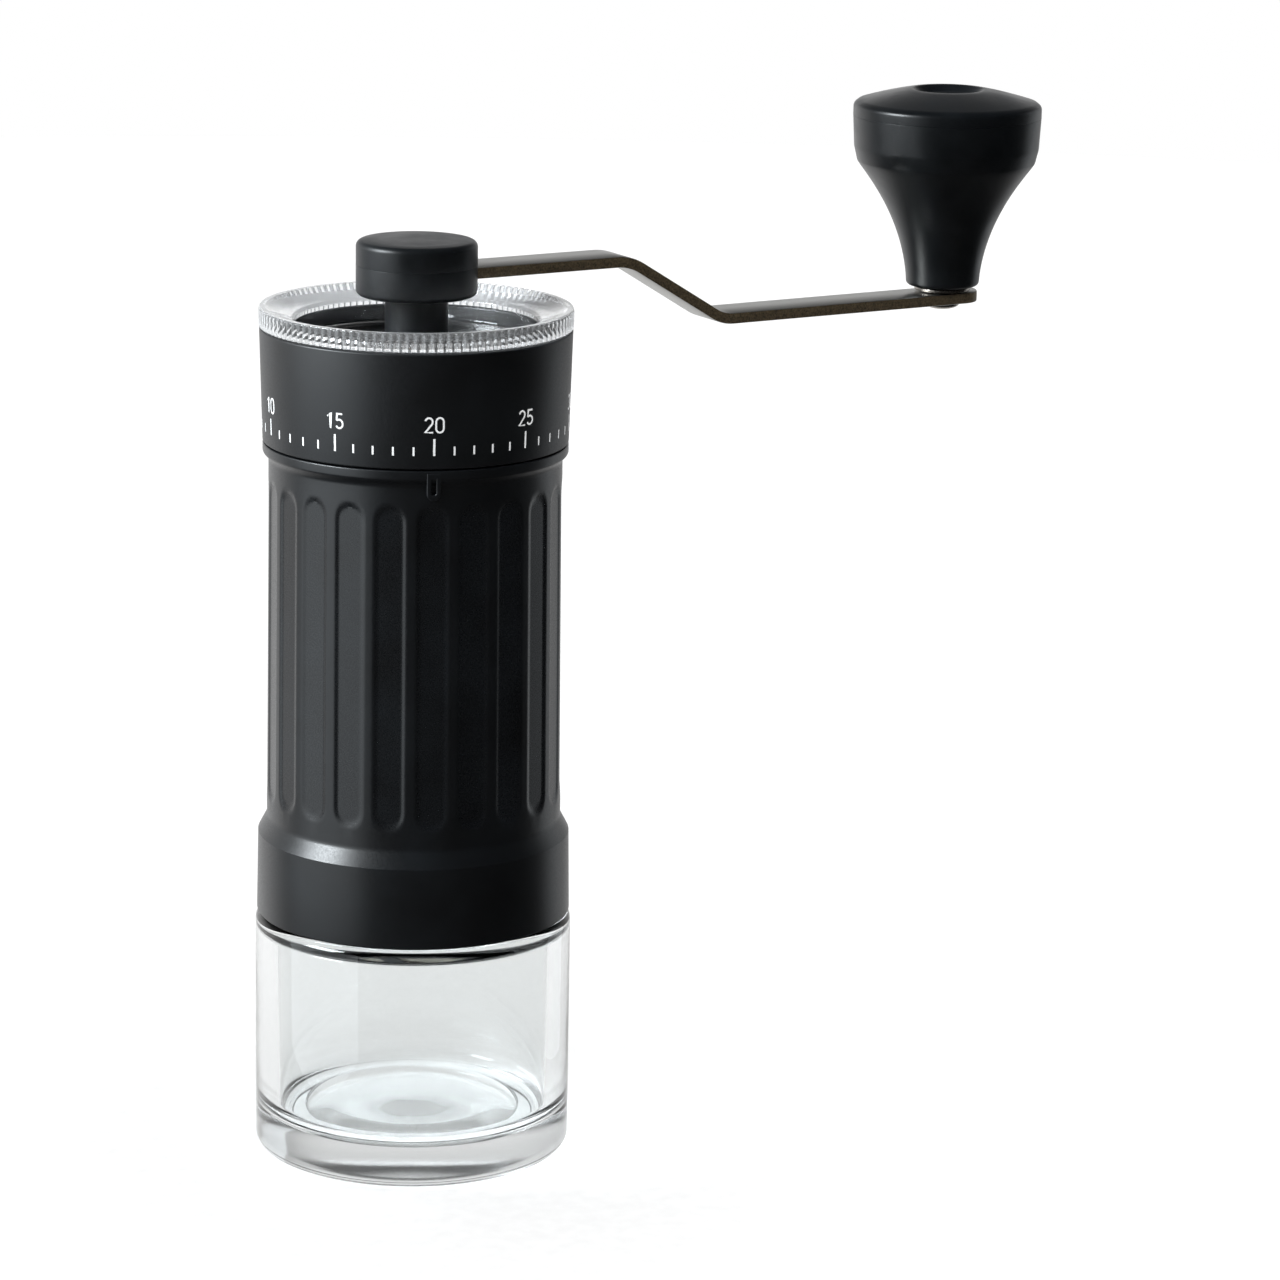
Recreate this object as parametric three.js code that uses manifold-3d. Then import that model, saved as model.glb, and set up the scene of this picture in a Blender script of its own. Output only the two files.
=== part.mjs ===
// Hand crank coffee grinder: glass jar below, fluted body with the burrs in its foot, numbered
// grind dial, clear lid, and a crank with a turning knob. Millimetres, +Z up, origin in the
// middle of the jar's foot. The index mark of the body faces -Y.
import * as THREE from 'three';
import { mergeVertices } from 'three/addons/utils/BufferGeometryUtils.js';
import Module from 'manifold-3d';

const wasm = await Module();
wasm.setup();

// ---------------------------------------------------------------- driving dimensions
const GAP = 0.3;              // air left between faces that meet or are screwed together
const RUNNING = 0.06;         // radial clearance of a shaft in its bush
const DIAL_RUNNING = 0.1;     // radial clearance of the dial on the body's neck
const BUSH_FIT = 0.08;        // radial clearance of a bush in its seat
const SCREW_CLEAR = 0.15;     // radial clearance of a screw or pin in its hole
const CLIP_CLEAR = 0.1;       // clearance of a circlip in its groove, all round
const HEX_CLEAR = 0.2;        // radial clearance over the shaft's hexagons
const PAST = 1;               // how far a cutter runs past the face that it opens

const JAR_HEIGHT = 50.4;
const JAR_WALL = 4.6;
const JAR_BASE = 8.4;
const JAR_FOOT_ROUND = 3.2;
const JAR_SHOULDER_ROUND = 1.4;
const JAR_NECK_HEIGHT = 11.1;
const JAR_NECK_WALL = 3.0;
const JAR_NECK_CLEAR = 0.4;   // radial clearance of the neck in the body's socket
const JAR_NECK_INSIDE = 1.5;  // the neck's bore ends this far below the shoulder
const JAR_INNER_SHOULDER = 4.5;
const JAR_FLOOR_ROUND = 4.5;
const JAR_PUSH_UP = 1.4;      // the floor's middle stands this far above its edge
const JAR_OVER_COLLAR = 0.3;  // how far the jar stands out past the body's collar
const GASKET_HEIGHT = 1.4;
const GASKET_LAP = 0.2;       // the gasket's hole is this much wider than the jar's mouth
const COLLAR_CLEAR = 0.5;     // body's collar above the jar's shoulder

const BODY_RADIUS = 30.2;     // fluted body at its foot
const BODY_HEIGHT = 98.1;     // collar's lower edge to the top of the lip
const BODY_DRAFT = 0.4;       // the fluted part is this much slimmer at its top
const BODY_WALL = 2.6;
const COLLAR_STEP = 1.8;      // collar stands out this far beyond the fluted part
const COLLAR_HEIGHT = 16.7;
const COLLAR_DRAFT = 0.27;
const CHAMFER_HEIGHT = 3.3;
const SOCKET_WALL = 3.27;     // collar wall around the jar's neck
const LIP_STEP = 1.2;         // lip under the dial stands out this far
const LIP_HEIGHT = 1.9;
const COVE_HEIGHT = 2.6;
const EDGE = 0.3;             // small bevel or round that breaks an edge

const FLUTE_COUNT = 22;
const FLUTE_WIDTH = 6.3;
const FLUTE_DEPTH = 0.7;
const FLUTE_FROM_CHAMFER = 4.0;
const FLUTE_FROM_LIP = 7.4;
const INDEX_WIDTH = 2.8;
const INDEX_LENGTH = 5.6;
const INDEX_SLOT = 1.05;
const INDEX_PROUD = 0.15;     // the index mark lies this far inside the lip's face
const INDEX_SLOT_DEPTH = 1.0;
const INDEX_TOP = 1.0;        // slot's upper end below the lip's top

const NECK_BELOW_CARRIER = 2.44;  // neck's rim under the carrier at the middle setting
const NECK_WALL = 2.1;
const NECK_ROOT = 3.5;        // the neck's bore runs down this far into the body
const HOPPER_TAPER = 3.5;
const DIAL_HEIGHT = 23.1;
const DIAL_FLARE = 0.67;      // dial is this much wider at its top
const DIAL_WALL = 3.6;
const DIAL_THREAD_DEPTH = 1.2;
const LID_SOCKET_DEPTH = 4.6;
const SNAP_RING_WIRE = 1.0;
const SNAP_RING_CLEAR = 0.2;
const SNAP_RING_LIFT = 1.2;   // ring above the lip
const SNAP_RING_OPENING = 6;  // the open ring leaves room for the leaf and this much more
const LEAF_LENGTH = 14;
const LEAF_WIDTH = 3.2;
const LEAF_THICKNESS = 0.45;
const LEAF_SUNK = 0.5;        // leaf's back under the neck's surface
const LEAF_BELOW_RIM = 1.6;
const LEAF_BUMP = 0.7;
const LEAF_CLEAR = 0.4;

const LID_RIM_HEIGHT = 3.9;
const LID_RIM_OVER = 0.13;    // the lid's gripping rim stands this far outside the dial
const LID_EDGE = 0.5;
const LID_WALL = 1.3;
const LID_FLOOR = 1.3;
const LID_LAND_DROP = 2.1;
const LID_BORE_ROUND = 0.6;
const LID_COLLAR_WALL = 0.5;
const LID_COLLAR_OVER = 0.4;  // the collar round the stem stands above the rim
const LID_STEM_CLEAR = 0.2;

const CARRIER_HEIGHT = 5.0;
const CARRIER_RIM = 2.4;
const CARRIER_KEY_WIDTH = 6.0;
const CARRIER_KEY_LENGTH = 5.0;
const CARRIER_SPOKE = 4.2;
const CARRIER_HUB_WALL = 2.24;
const CARRIER_BELOW_LID = 1.6;    // at the top of its travel
const KEY_CLEAR = 0.3;
const THREAD_CLEAR = 0.3;
const ADJUST_TRAVEL = 0.63;   // burr travel to each side of the middle setting

const SHAFT_RADIUS = 4.0;
const JOURNAL_RADIUS = 3.0;
const BUSH_WALL = 1.9;
const UPPER_BUSH_LENGTH = 7.4;
const LOWER_BUSH_LENGTH = 5.8;
const CLIP_THICKNESS = 0.8;
const CLIP_WIDTH = 2.6;
const CLIP_DEPTH = 0.7;       // groove of a circlip in the shaft
const CLIP_OPENING = 2.8;
const BUSH_STANDS_OUT = 0.4;
const SHAFT_COLLAR = 1.6;     // the shaft's collar under the upper bush is this proud
const SHAFT_COLLAR_HEIGHT = 1.8;
const SHAFT_SHOULDER = 2.4;   // hexagon ends this far above the burrs
const HEX_INSIDE_BURR = 3.2;
const JOURNAL_END = 0.7;      // journal past its lowest groove
const OVERLAP = 0.2;          // joined sections of one piece run into each other by this

const BURR_HEIGHT = 17.0;
const BURR_RING_WALL = 2.9;
const BURR_GAP = 0.55;        // narrowest gap between the burrs at the middle setting
const BURR_SLOPE = 0.22;      // how much the burrs narrow per millimetre of height
const BURR_TEETH = 18;
const TOOTH_DEPTH = 1.0;
const BURR_TWIST = 0.5;       // radians that the teeth turn over the burr's height
const BURR_OVER = 1.6;        // the inner burr stands this far above the outer one
const BURR_FOOT = 0.6;
const BURR_OPENING = 0.06;    // how much the burrs draw apart per millimetre upwards
const BURR_BORE_STEP = 1.2;   // burr bore is this much narrower than the hopper
const HOLDER_WALL = 6.0;
const HOLDER_FLOOR = 2.1;
const HOLDER_MOUTH = 1.2;     // holder's hole outside the burr's mouth
const LEDGE_CLEAR = 1.2;
const LEDGE_HEIGHT = 4.4;
const FUNNEL_HEIGHT = 12.5;
const FUNNEL_WALL = 1.5;
const FUNNEL_EDGE = 0.5;
const FUNNEL_FLOOR = 0.8;
const FRAME_HEIGHT = 3.4;
const FRAME_ARM = 5.0;
const FRAME_HUB_RISE = 2.4;
const FRAME_HUB_WALL = 1.7;
const FRAME_CLEAR = 1.1;      // burr frame above the gasket's seat
const FRAME_RIM_LAP = 0.8;
const BURR_SCREW_RADIUS = 1.25;
const BURR_SCREW_HEAD = 2.2;
const BURR_SCREW_HEAD_HEIGHT = 1.3;
const BURR_SCREW_END = 0.6;   // screw ends this far short of its hole
const BURR_SCREW_ROOF = 0.8;  // body left over the blind holes
const DRIVER_CROSS = [0.7, 2.6, 0.9];   // cross recess: width, length, depth
const BURR_SCREW_COUNT = 3;
const THRUST_WASHER = 0.8;
const SPRING_WIRE = 1.1;
const SPRING_CLEAR = 2.6;     // coil's middle line outside the journal
const SPRING_TURNS = 4;
const SPRING_LENGTH = 6.4;

const CRANK_ANGLE = 21.1;     // degrees, where the crank stands at rest
const STEM_RADIUS = 6.4;
const HUB_RADIUS = 12.3;
const HUB_CLEAR = 2.3;        // hub's underside above the lid
const HUB_HEIGHT = 5.9;
const CAP_HEIGHT = 5.3;
const CAP_ROUND = 0.9;
const CAP_CROWN = 0.5;
const CAP_POCKET = 3.0;
const CAP_POCKET_CLEAR = 0.8;
const HUB_EDGE = 0.8;
const HEX_BELOW_HUB = 0.7;
const ARM_SUNK = 0.5;         // arm's top below the hub's seam
const ARM_EYE = 8.9;
const ARM_EYE_CLEAR = 0.7;
const ARM_WIDTH = 10.4;
const ARM_THICKNESS = 2.3;
const ARM_LENGTH = 127;       // crank axis to knob axis
const ARM_TIP = 7.9;          // knob axis to the arm's end
const ARM_DROP = 13.7;
const ARM_FIRST_BEND = 46.5;
const ARM_SECOND_BEND = 69;
const ARM_BEND_RADIUS = 9;
const HUB_SCREW_RADIUS = 1.9;
const HUB_SCREW_HEAD = 3.7;
const HUB_SCREW_HEAD_HEIGHT = 2.3;
const HUB_SCREW_EDGE = 0.8;
const HUB_SCREW_REACH = 1.5;  // screw's end above the shaft's hexagon
const HUB_DRIVER_CROSS = [1.0, 4.4, 1.0];

const KNOB_RADIUS = 20;
const KNOB_FOOT_RADIUS = 7.8;
const KNOB_HEIGHT = 36;       // foot to the seam under the crown
const KNOB_BAND = 9.2;        // steep band under the seam
const KNOB_BAND_ROUND = 2.4;
const CROWN_HEIGHT = 6.0;
const CROWN_DIMPLE_RADIUS = 8.4;
const CROWN_DIMPLE_DEPTH = 2.4;
const CROWN_SIDE = 2.2;       // straight edge of the crown
const CROWN_PLUG = 2.2;       // plug of the crown inside the knob
const KNOB_WALL = 4.5;
const KNOB_CAVITY_DEPTH = 5.0;
const KNOB_PIN_RADIUS = 2.5;
const PIN_GROOVE = 0.5;
const PIN_END = 0.7;
const PIN_HEAD_RADIUS = 3.8;
const PIN_HEAD_HEIGHT = 1.3;
const WASHER_RADIUS = 6.0;
const WASHER_THICKNESS = 0.7;

// ---------------------------------------------------------------- heights worked out
const collarBottom = JAR_HEIGHT + COLLAR_CLEAR;
const jarNeckTop = JAR_HEIGHT + JAR_NECK_HEIGHT;
const gasketBottom = jarNeckTop + GAP;
const socketTop = gasketBottom + GASKET_HEIGHT + GAP;
const frameBottom = socketTop + FRAME_CLEAR;
const holderBottom = frameBottom + FRAME_HEIGHT + GAP;
const burrBottom = holderBottom + HOLDER_FLOOR + GAP;
const thrustWasherBottom = frameBottom + FRAME_HEIGHT + FRAME_HUB_RISE + GAP;
const springBottom = thrustWasherBottom + THRUST_WASHER + GAP;
const springTop = springBottom + SPRING_LENGTH;
const burrTop = burrBottom + BURR_HEIGHT;
const ledgeBottom = burrTop + 2 * GAP;
const ledgeTop = ledgeBottom + LEDGE_HEIGHT;
const lipTop = collarBottom + BODY_HEIGHT;
const dialBottom = lipTop + GAP;
const dialTop = dialBottom + DIAL_HEIGHT;
const lidSeat = dialTop - LID_SOCKET_DEPTH;
const lidTop = dialTop + GAP + LID_RIM_HEIGHT;
const lidBottom = lidSeat + GAP;
const carrierTop = lidSeat - 2 * ADJUST_TRAVEL - CARRIER_BELOW_LID;
const carrierBottom = carrierTop - CARRIER_HEIGHT;
const neckRim = carrierBottom - NECK_BELOW_CARRIER;
const keyBottom = neckRim - CARRIER_KEY_LENGTH;
const upperBushTop = carrierTop + BUSH_STANDS_OUT;
const upperBushBottom = upperBushTop - UPPER_BUSH_LENGTH;
const hubBottom = lidTop + HUB_CLEAR;
const hubTop = hubBottom + HUB_HEIGHT;
const stemBottom = lidBottom;
const armBottom = hubTop - ARM_SUNK - ARM_THICKNESS;
const capBottom = hubTop + GAP;
const hexTop = hubBottom - HEX_BELOW_HUB;
const armOuterTop = armBottom + ARM_THICKNESS - ARM_DROP;
const knobFoot = armOuterTop + GAP + WASHER_THICKNESS + GAP;
const shaftClipBottom = upperBushTop + GAP;
const endClipBottom = frameBottom - 3 * GAP - CLIP_THICKNESS;
const cavityFloor = KNOB_HEIGHT - KNOB_CAVITY_DEPTH;
const knobClipBottom = cavityFloor + 2 * GAP;

// ---------------------------------------------------------------- radii worked out
const bodyTopRadius = BODY_RADIUS - BODY_DRAFT;
const collarTopRadius = BODY_RADIUS + COLLAR_STEP;
const collarRadius = collarTopRadius + COLLAR_DRAFT;
const jarRadius = collarRadius + JAR_OVER_COLLAR;
const socketRadius = collarRadius - SOCKET_WALL;
const jarNeckRadius = socketRadius - JAR_NECK_CLEAR;
const jarNeckBore = jarNeckRadius - JAR_NECK_WALL;
const hopperRadius = BODY_RADIUS - BODY_WALL;
const burrBoreRadius = hopperRadius - BURR_BORE_STEP;
const holderRadius = burrBoreRadius - GAP;
const outerBurrRadius = holderRadius - HOLDER_WALL - GAP;
const burrMouthRadius = outerBurrRadius - BURR_RING_WALL;
const burrScrewCircle = holderRadius - HOLDER_WALL / 2;
const ledgeRadius = outerBurrRadius + LEDGE_CLEAR;
const lipRadius = bodyTopRadius + LIP_STEP;
const neckRadius = lipRadius - DIAL_WALL - DIAL_RUNNING;
const neckBore = neckRadius - NECK_WALL;
const dialTopRadius = lipRadius + DIAL_FLARE;
const dialBore = neckRadius + DIAL_RUNNING;
const lidSocketRadius = dialBore - DIAL_THREAD_DEPTH;
const lidRimRadius = dialTopRadius + LID_RIM_OVER;
const lidCupRadius = lidSocketRadius - GAP;
const carrierRadius = dialBore - THREAD_CLEAR;
const leafRadius = neckRadius - LEAF_SUNK - LEAF_THICKNESS;
const snapRingInner = neckRadius + (DIAL_RUNNING - SNAP_RING_WIRE) / 2;
const bushRadius = SHAFT_RADIUS + RUNNING + BUSH_WALL;
const lowerBushRadius = JOURNAL_RADIUS + RUNNING + BUSH_WALL;
const springRadius = JOURNAL_RADIUS + SPRING_CLEAR;

// ---------------------------------------------------------------- finishes
const finish = (color, roughness, metalness = 0) =>
  new THREE.MeshStandardMaterial({ color, roughness, metalness });
const BLACK_ALUMINIUM = finish(0x2b2e31, 0.42, 0.6);
const BLACK_PLASTIC = finish(0x1d2022, 0.5);
const GREY_PLASTIC = finish(0x4a4d50, 0.6);
const CLEAR_PLASTIC = finish(0xe8ecee, 0.08);
const JAR_GLASS = finish(0xe4e8ea, 0.05);
const SATIN_STEEL = finish(0xa7a8a6, 0.35, 1);
const SPRING_STEEL = finish(0x8d8f90, 0.4, 1);
const BRONZE = finish(0xa27a45, 0.5, 1);
const CERAMIC = finish(0xe9e6de, 0.55);
const SILICONE = finish(0x8c8f91, 0.7);

// ---------------------------------------------------------------- solid helpers
// Shared vertices merged, collapsed triangles dropped, faces turned outwards.
function clean(source) {
  const bare = source.clone();
  for (const name of Object.keys(bare.attributes)) {
    if (name !== 'position') bare.deleteAttribute(name);
  }
  const merged = mergeVertices(bare, 1e-4);
  const position = merged.attributes.position;
  const index = merged.index.array;
  const corners = [0, 1, 2].map(() => new THREE.Vector3());
  const kept = [];
  let volume = 0;
  for (let i = 0; i < index.length; i += 3) {
    const [a, b, c] = [index[i], index[i + 1], index[i + 2]];
    if (a === b || b === c || c === a) continue;
    kept.push(a, b, c);
    [a, b, c].forEach((v, k) => corners[k].fromBufferAttribute(position, v));
    volume += corners[0].dot(corners[1].cross(corners[2]));
  }
  if (volume < 0) {
    for (let i = 0; i < kept.length; i += 3) {
      [kept[i + 1], kept[i + 2]] = [kept[i + 2], kept[i + 1]];
    }
  }
  merged.setIndex(kept);
  return merged;
}

function solid(source) {
  const geometry = clean(source);
  return new wasm.Manifold(new wasm.Mesh({
    numProp: 3,
    vertProperties: new Float32Array(geometry.attributes.position.array),
    triVerts: new Uint32Array(geometry.index.array),
  }));
}

function geometryOf(manifold) {
  const mesh = manifold.getMesh();
  const geometry = new THREE.BufferGeometry();
  geometry.setAttribute('position', new THREE.BufferAttribute(mesh.vertProperties, 3));
  geometry.setIndex(new THREE.BufferAttribute(mesh.triVerts, 1));
  return geometry;
}

const radians = THREE.MathUtils.degToRad;
const cut = (base, ...tools) =>
  geometryOf(tools.reduce((left, tool) => left.subtract(solid(tool)), solid(base)));
const join = (base, ...more) =>
  geometryOf(more.reduce((sum, piece) => sum.add(solid(piece)), solid(base)));

// Turned solid about Z. The outline is a list of [radius, height] going once around the section.
// An outline that touches the axis starts and ends on it.
function turned(outline, segments) {
  const points = outline.map(([r, z]) => new THREE.Vector2(Math.max(r, 0), z));
  const onAxis = outline[0][0] === 0 && outline.at(-1)[0] === 0;
  if (!onAxis) points.push(points[0].clone());
  return new THREE.LatheGeometry(points, segments).rotateX(Math.PI / 2);
}

const ring = (inner, outer, low, high, segments = 48) =>
  turned([[inner, low], [outer, low], [outer, high], [inner, high]], segments);

const rod = (radius, low, high, segments = 32) =>
  new THREE.CylinderGeometry(radius, radius, high - low, segments)
    .rotateX(Math.PI / 2)
    .translate(0, 0, (low + high) / 2);

const block = (x0, x1, y0, y1, z0, z1) =>
  new THREE.BoxGeometry(x1 - x0, y1 - y0, z1 - z0)
    .translate((x0 + x1) / 2, (y0 + y1) / 2, (z0 + z1) / 2);

// Quarter round of an outline from one corner angle to another, in degrees.
function arc(centreR, centreZ, radius, from, to, steps) {
  return Array.from({ length: steps + 1 }, (_, i) => {
    const angle = radians(from + (to - from) * i / steps);
    return [centreR + radius * Math.cos(angle), centreZ + radius * Math.sin(angle)];
  });
}

const around = (count, make) =>
  Array.from({ length: count }, (_, i) => make(2 * Math.PI * i / count, i));

function part(name, geometry, material, z = 0) {
  const mesh = new THREE.Mesh(clean(geometry), material);
  mesh.name = name;
  mesh.position.z = z;
  return mesh;
}

// Groove for a circlip, cut into a rod of the given radius.
const clipGroove = (radius, depth, clipBottom) =>
  ring(radius - depth, radius + PAST, clipBottom - CLIP_CLEAR, clipBottom + CLIP_THICKNESS + CLIP_CLEAR, 24);

// Cross recess for a screwdriver, sunk into a flat face at the given height.
function driverCross([width, length, depth], face, side) {
  const low = side > 0 ? face - depth : face - PAST;
  const high = side > 0 ? face + PAST : face + depth;
  const bar = block(-width / 2, width / 2, -length / 2, length / 2, low, high);
  return [bar, bar.clone().rotateZ(Math.PI / 2)];
}

// Holes for the burr screws.
const burrScrewHoles = (low, high) =>
  around(BURR_SCREW_COUNT, (angle) =>
    rod(BURR_SCREW_RADIUS + SCREW_CLEAR, low, high, 16)
      .translate(burrScrewCircle, 0, 0)
      .rotateZ(angle));

const CARRIER_KEY_COUNT = 3;
const CARRIER_KEY_TURN = 30;  // degrees, first key and spoke
const aroundKeys = (make) =>
  around(CARRIER_KEY_COUNT, (angle) => make().rotateZ(angle + radians(CARRIER_KEY_TURN)));

// ---------------------------------------------------------------- jar
function glassJar() {
  const bore = jarRadius - JAR_WALL;
  const neckBoreLow = JAR_HEIGHT - JAR_NECK_INSIDE;
  const floorEdge = bore - JAR_FLOOR_ROUND;
  const outline = [
    [0, 0],
    ...arc(jarRadius - JAR_FOOT_ROUND, JAR_FOOT_ROUND, JAR_FOOT_ROUND, -90, 0, 3),
    ...arc(jarRadius - JAR_SHOULDER_ROUND, JAR_HEIGHT - JAR_SHOULDER_ROUND, JAR_SHOULDER_ROUND,
      0, 90, 2),
    [jarNeckRadius, JAR_HEIGHT], [jarNeckRadius, jarNeckTop], [jarNeckBore, jarNeckTop],
    [jarNeckBore, neckBoreLow], [bore, neckBoreLow - JAR_INNER_SHOULDER],
    ...arc(floorEdge, JAR_BASE + JAR_FLOOR_ROUND, JAR_FLOOR_ROUND, 0, -80, 3),
    [floorEdge / 2, JAR_BASE + JAR_PUSH_UP * 0.7], [0, JAR_BASE + JAR_PUSH_UP],
  ];
  return part('glass_jar', turned(outline, 40), JAR_GLASS);
}

function jarGasket() {
  const gasket = ring(jarNeckBore + GASKET_LAP, socketRadius - GAP, 0, GASKET_HEIGHT, 32);
  return part('jar_gasket', gasket, SILICONE, gasketBottom);
}

// ---------------------------------------------------------------- body
// One cutter is a long pill that lies along the body and sinks in by the flute's depth.
function fluteCutters(low, high) {
  const middle = (low + high) / 2;
  const slim = BODY_DRAFT * (middle - low) / (lipTop - low);
  const surface = BODY_RADIUS - slim;
  const half = FLUTE_WIDTH / 2;
  const chord = Math.sqrt(surface ** 2 - half ** 2);
  const floor = surface - FLUTE_DEPTH;
  const distance = (chord ** 2 + half ** 2 - floor ** 2) / (2 * (chord - floor));
  const radius = distance - floor;
  const reach = Math.sqrt(radius ** 2 - (distance - surface) ** 2);
  const tilt = Math.atan(BODY_DRAFT / (lipTop - collarBottom));
  return around(FLUTE_COUNT, (angle) =>
    new THREE.CapsuleGeometry(radius, high - low - 2 * reach, 7, 28)
      .rotateX(Math.PI / 2)
      .rotateX(tilt)
      .translate(0, -distance, middle)
      .rotateZ(angle));
}

function indexMark() {
  const half = INDEX_WIDTH / 2;
  const lug = new THREE.Shape();
  lug.moveTo(half, 0);
  lug.lineTo(half, -INDEX_LENGTH + half);
  lug.absarc(0, -INDEX_LENGTH + half, half, 0, Math.PI, true);
  lug.lineTo(-half, 0);
  const depth = 2 * LIP_STEP;
  return new THREE.ExtrudeGeometry(lug, { depth, bevelEnabled: false, curveSegments: 6 })
    .rotateX(Math.PI / 2)
    .translate(0, depth + INDEX_PROUD - lipRadius, lipTop - LIP_HEIGHT / 2);
}

function housing() {
  const coveLow = lipTop - LIP_HEIGHT - COVE_HEIGHT;
  const chamferTop = collarBottom + COLLAR_HEIGHT + CHAMFER_HEIGHT;
  const outline = [
    [socketRadius, collarBottom], [collarRadius, collarBottom],
    [collarTopRadius, collarBottom + COLLAR_HEIGHT],
    [BODY_RADIUS + EDGE, chamferTop], [BODY_RADIUS, chamferTop + CHAMFER_HEIGHT / 2],
    [bodyTopRadius, coveLow], [bodyTopRadius + EDGE, coveLow + COVE_HEIGHT / 2],
    [lipRadius - EDGE, lipTop - LIP_HEIGHT], [lipRadius, lipTop - LIP_HEIGHT + 2 * EDGE],
    [lipRadius, lipTop], [neckRadius, lipTop], [neckRadius, neckRim], [neckBore, neckRim],
    [neckBore, lipTop - NECK_ROOT], [hopperRadius, lipTop - NECK_ROOT - HOPPER_TAPER],
    [hopperRadius, ledgeTop], [ledgeRadius, ledgeTop], [ledgeRadius, ledgeBottom],
    [burrBoreRadius, ledgeBottom], [burrBoreRadius, socketTop], [socketRadius, socketTop],
  ];
  const shell = turned(outline, FLUTE_COUNT * 2);
  const keyHalf = CARRIER_KEY_WIDTH / 2 + GAP;
  const keyways = aroundKeys(() =>
    block(neckBore - PAST, neckRadius + PAST, -keyHalf, keyHalf, keyBottom - GAP, neckRim + PAST));
  const leafLow = neckRim - LEAF_BELOW_RIM - LEAF_WIDTH - LEAF_CLEAR;
  const leafHigh = neckRim - LEAF_BELOW_RIM + LEAF_CLEAR;
  const leafHalf = LEAF_LENGTH / 2 + GAP;
  const leafBand = ring(leafRadius - SNAP_RING_CLEAR, neckRadius + PAST, leafLow, leafHigh, 60);
  const leafKeep = block(-leafHalf, leafHalf, 0, lipRadius, leafLow - PAST, leafHigh + PAST);
  const leafPocket = geometryOf(solid(leafBand).intersect(solid(leafKeep)));
  const grooveLow = lipTop + SNAP_RING_LIFT - SNAP_RING_CLEAR;
  const ringGroove = ring(neckRadius - SNAP_RING_WIRE / 2 - SNAP_RING_CLEAR, neckRadius + PAST,
    grooveLow, grooveLow + SNAP_RING_WIRE + 2 * SNAP_RING_CLEAR, 60);
  const slot = block(-INDEX_SLOT / 2, INDEX_SLOT / 2, -lipRadius - PAST, INDEX_SLOT_DEPTH - lipRadius,
    lipTop - INDEX_LENGTH + EDGE, lipTop - INDEX_TOP);
  const flutes = fluteCutters(chamferTop + FLUTE_FROM_CHAMFER, lipTop - FLUTE_FROM_LIP);
  const screwHoles = burrScrewHoles(ledgeBottom - PAST, ledgeTop - BURR_SCREW_ROOF);
  const marked = join(shell, indexMark());
  const body = cut(marked, ...flutes, ...keyways, ...screwHoles, leafPocket, ringGroove, slot);
  return part('housing', body, BLACK_ALUMINIUM);
}

// ---------------------------------------------------------------- grind dial
function dialRing() {
  const threadTop = lidSeat - dialBottom;
  const grooveLow = SNAP_RING_LIFT - SNAP_RING_CLEAR - GAP;
  const grooveHigh = grooveLow + SNAP_RING_WIRE + 2 * SNAP_RING_CLEAR;
  const grooveRadius = dialBore + SNAP_RING_WIRE / 2 + SNAP_RING_CLEAR;
  const outline = [
    [dialBore, 0], [lipRadius - EDGE, 0], [lipRadius, EDGE],
    [dialTopRadius, DIAL_HEIGHT - EDGE], [dialTopRadius - EDGE, DIAL_HEIGHT],
    [lidSocketRadius, DIAL_HEIGHT], [lidSocketRadius, threadTop], [dialBore, threadTop],
    [dialBore, grooveHigh], [grooveRadius, grooveHigh], [grooveRadius, grooveLow],
    [dialBore, grooveLow],
  ];
  return part('dial_ring', turned(outline, 48), BLACK_ALUMINIUM, dialBottom);
}

function dialSnapRing() {
  const outer = snapRingInner + SNAP_RING_WIRE;
  const whole = ring(snapRingInner, outer, 0, SNAP_RING_WIRE, 40);
  const open = (LEAF_LENGTH + SNAP_RING_OPENING) / 2;
  const opening = block(-open, open, 0, outer + PAST, -PAST, SNAP_RING_WIRE + PAST);
  return part('dial_snap_ring', cut(whole, opening), SPRING_STEEL, lipTop + SNAP_RING_LIFT);
}

// Curved leaf with a bump in its middle, in a pocket at the back of the neck.
function detentLeaf() {
  const half = LEAF_LENGTH / 2;
  const strip = ring(leafRadius, leafRadius + LEAF_THICKNESS, 0, LEAF_WIDTH, 60);
  const bump = rod(LEAF_BUMP, 0, LEAF_WIDTH, 12).translate(0, leafRadius, 0);
  const behind = rod(leafRadius, -PAST, LEAF_WIDTH + PAST, 60);
  const keep = block(-half, half, 0, neckRadius, -PAST, LEAF_WIDTH + PAST);
  const bent = solid(strip).add(solid(bump).subtract(solid(behind))).intersect(solid(keep));
  return part('detent_leaf', geometryOf(bent), SPRING_STEEL, neckRim - LEAF_BELOW_RIM - LEAF_WIDTH);
}

// ---------------------------------------------------------------- clear lid
function clearLid() {
  const rimLow = dialTop + GAP - lidBottom;
  const rimHigh = lidTop - lidBottom;
  const collarTop = rimHigh + LID_COLLAR_OVER;
  const stemHole = STEM_RADIUS + LID_STEM_CLEAR;
  const bore = lidCupRadius - LID_WALL;
  const outline = [
    [stemHole, 0], [lidCupRadius, 0], [lidCupRadius, rimLow], [lidRimRadius, rimLow],
    [lidRimRadius, rimHigh - LID_EDGE], [lidRimRadius - LID_EDGE, rimHigh],
    [bore + LID_BORE_ROUND, rimHigh - LID_LAND_DROP],
    [bore, rimHigh - LID_LAND_DROP - LID_BORE_ROUND],
    [bore, LID_FLOOR], [stemHole + LID_COLLAR_WALL, LID_FLOOR],
    [stemHole + LID_COLLAR_WALL, collarTop], [stemHole, collarTop],
  ];
  return part('clear_lid', turned(outline, 44), CLEAR_PLASTIC, lidBottom);
}

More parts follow.
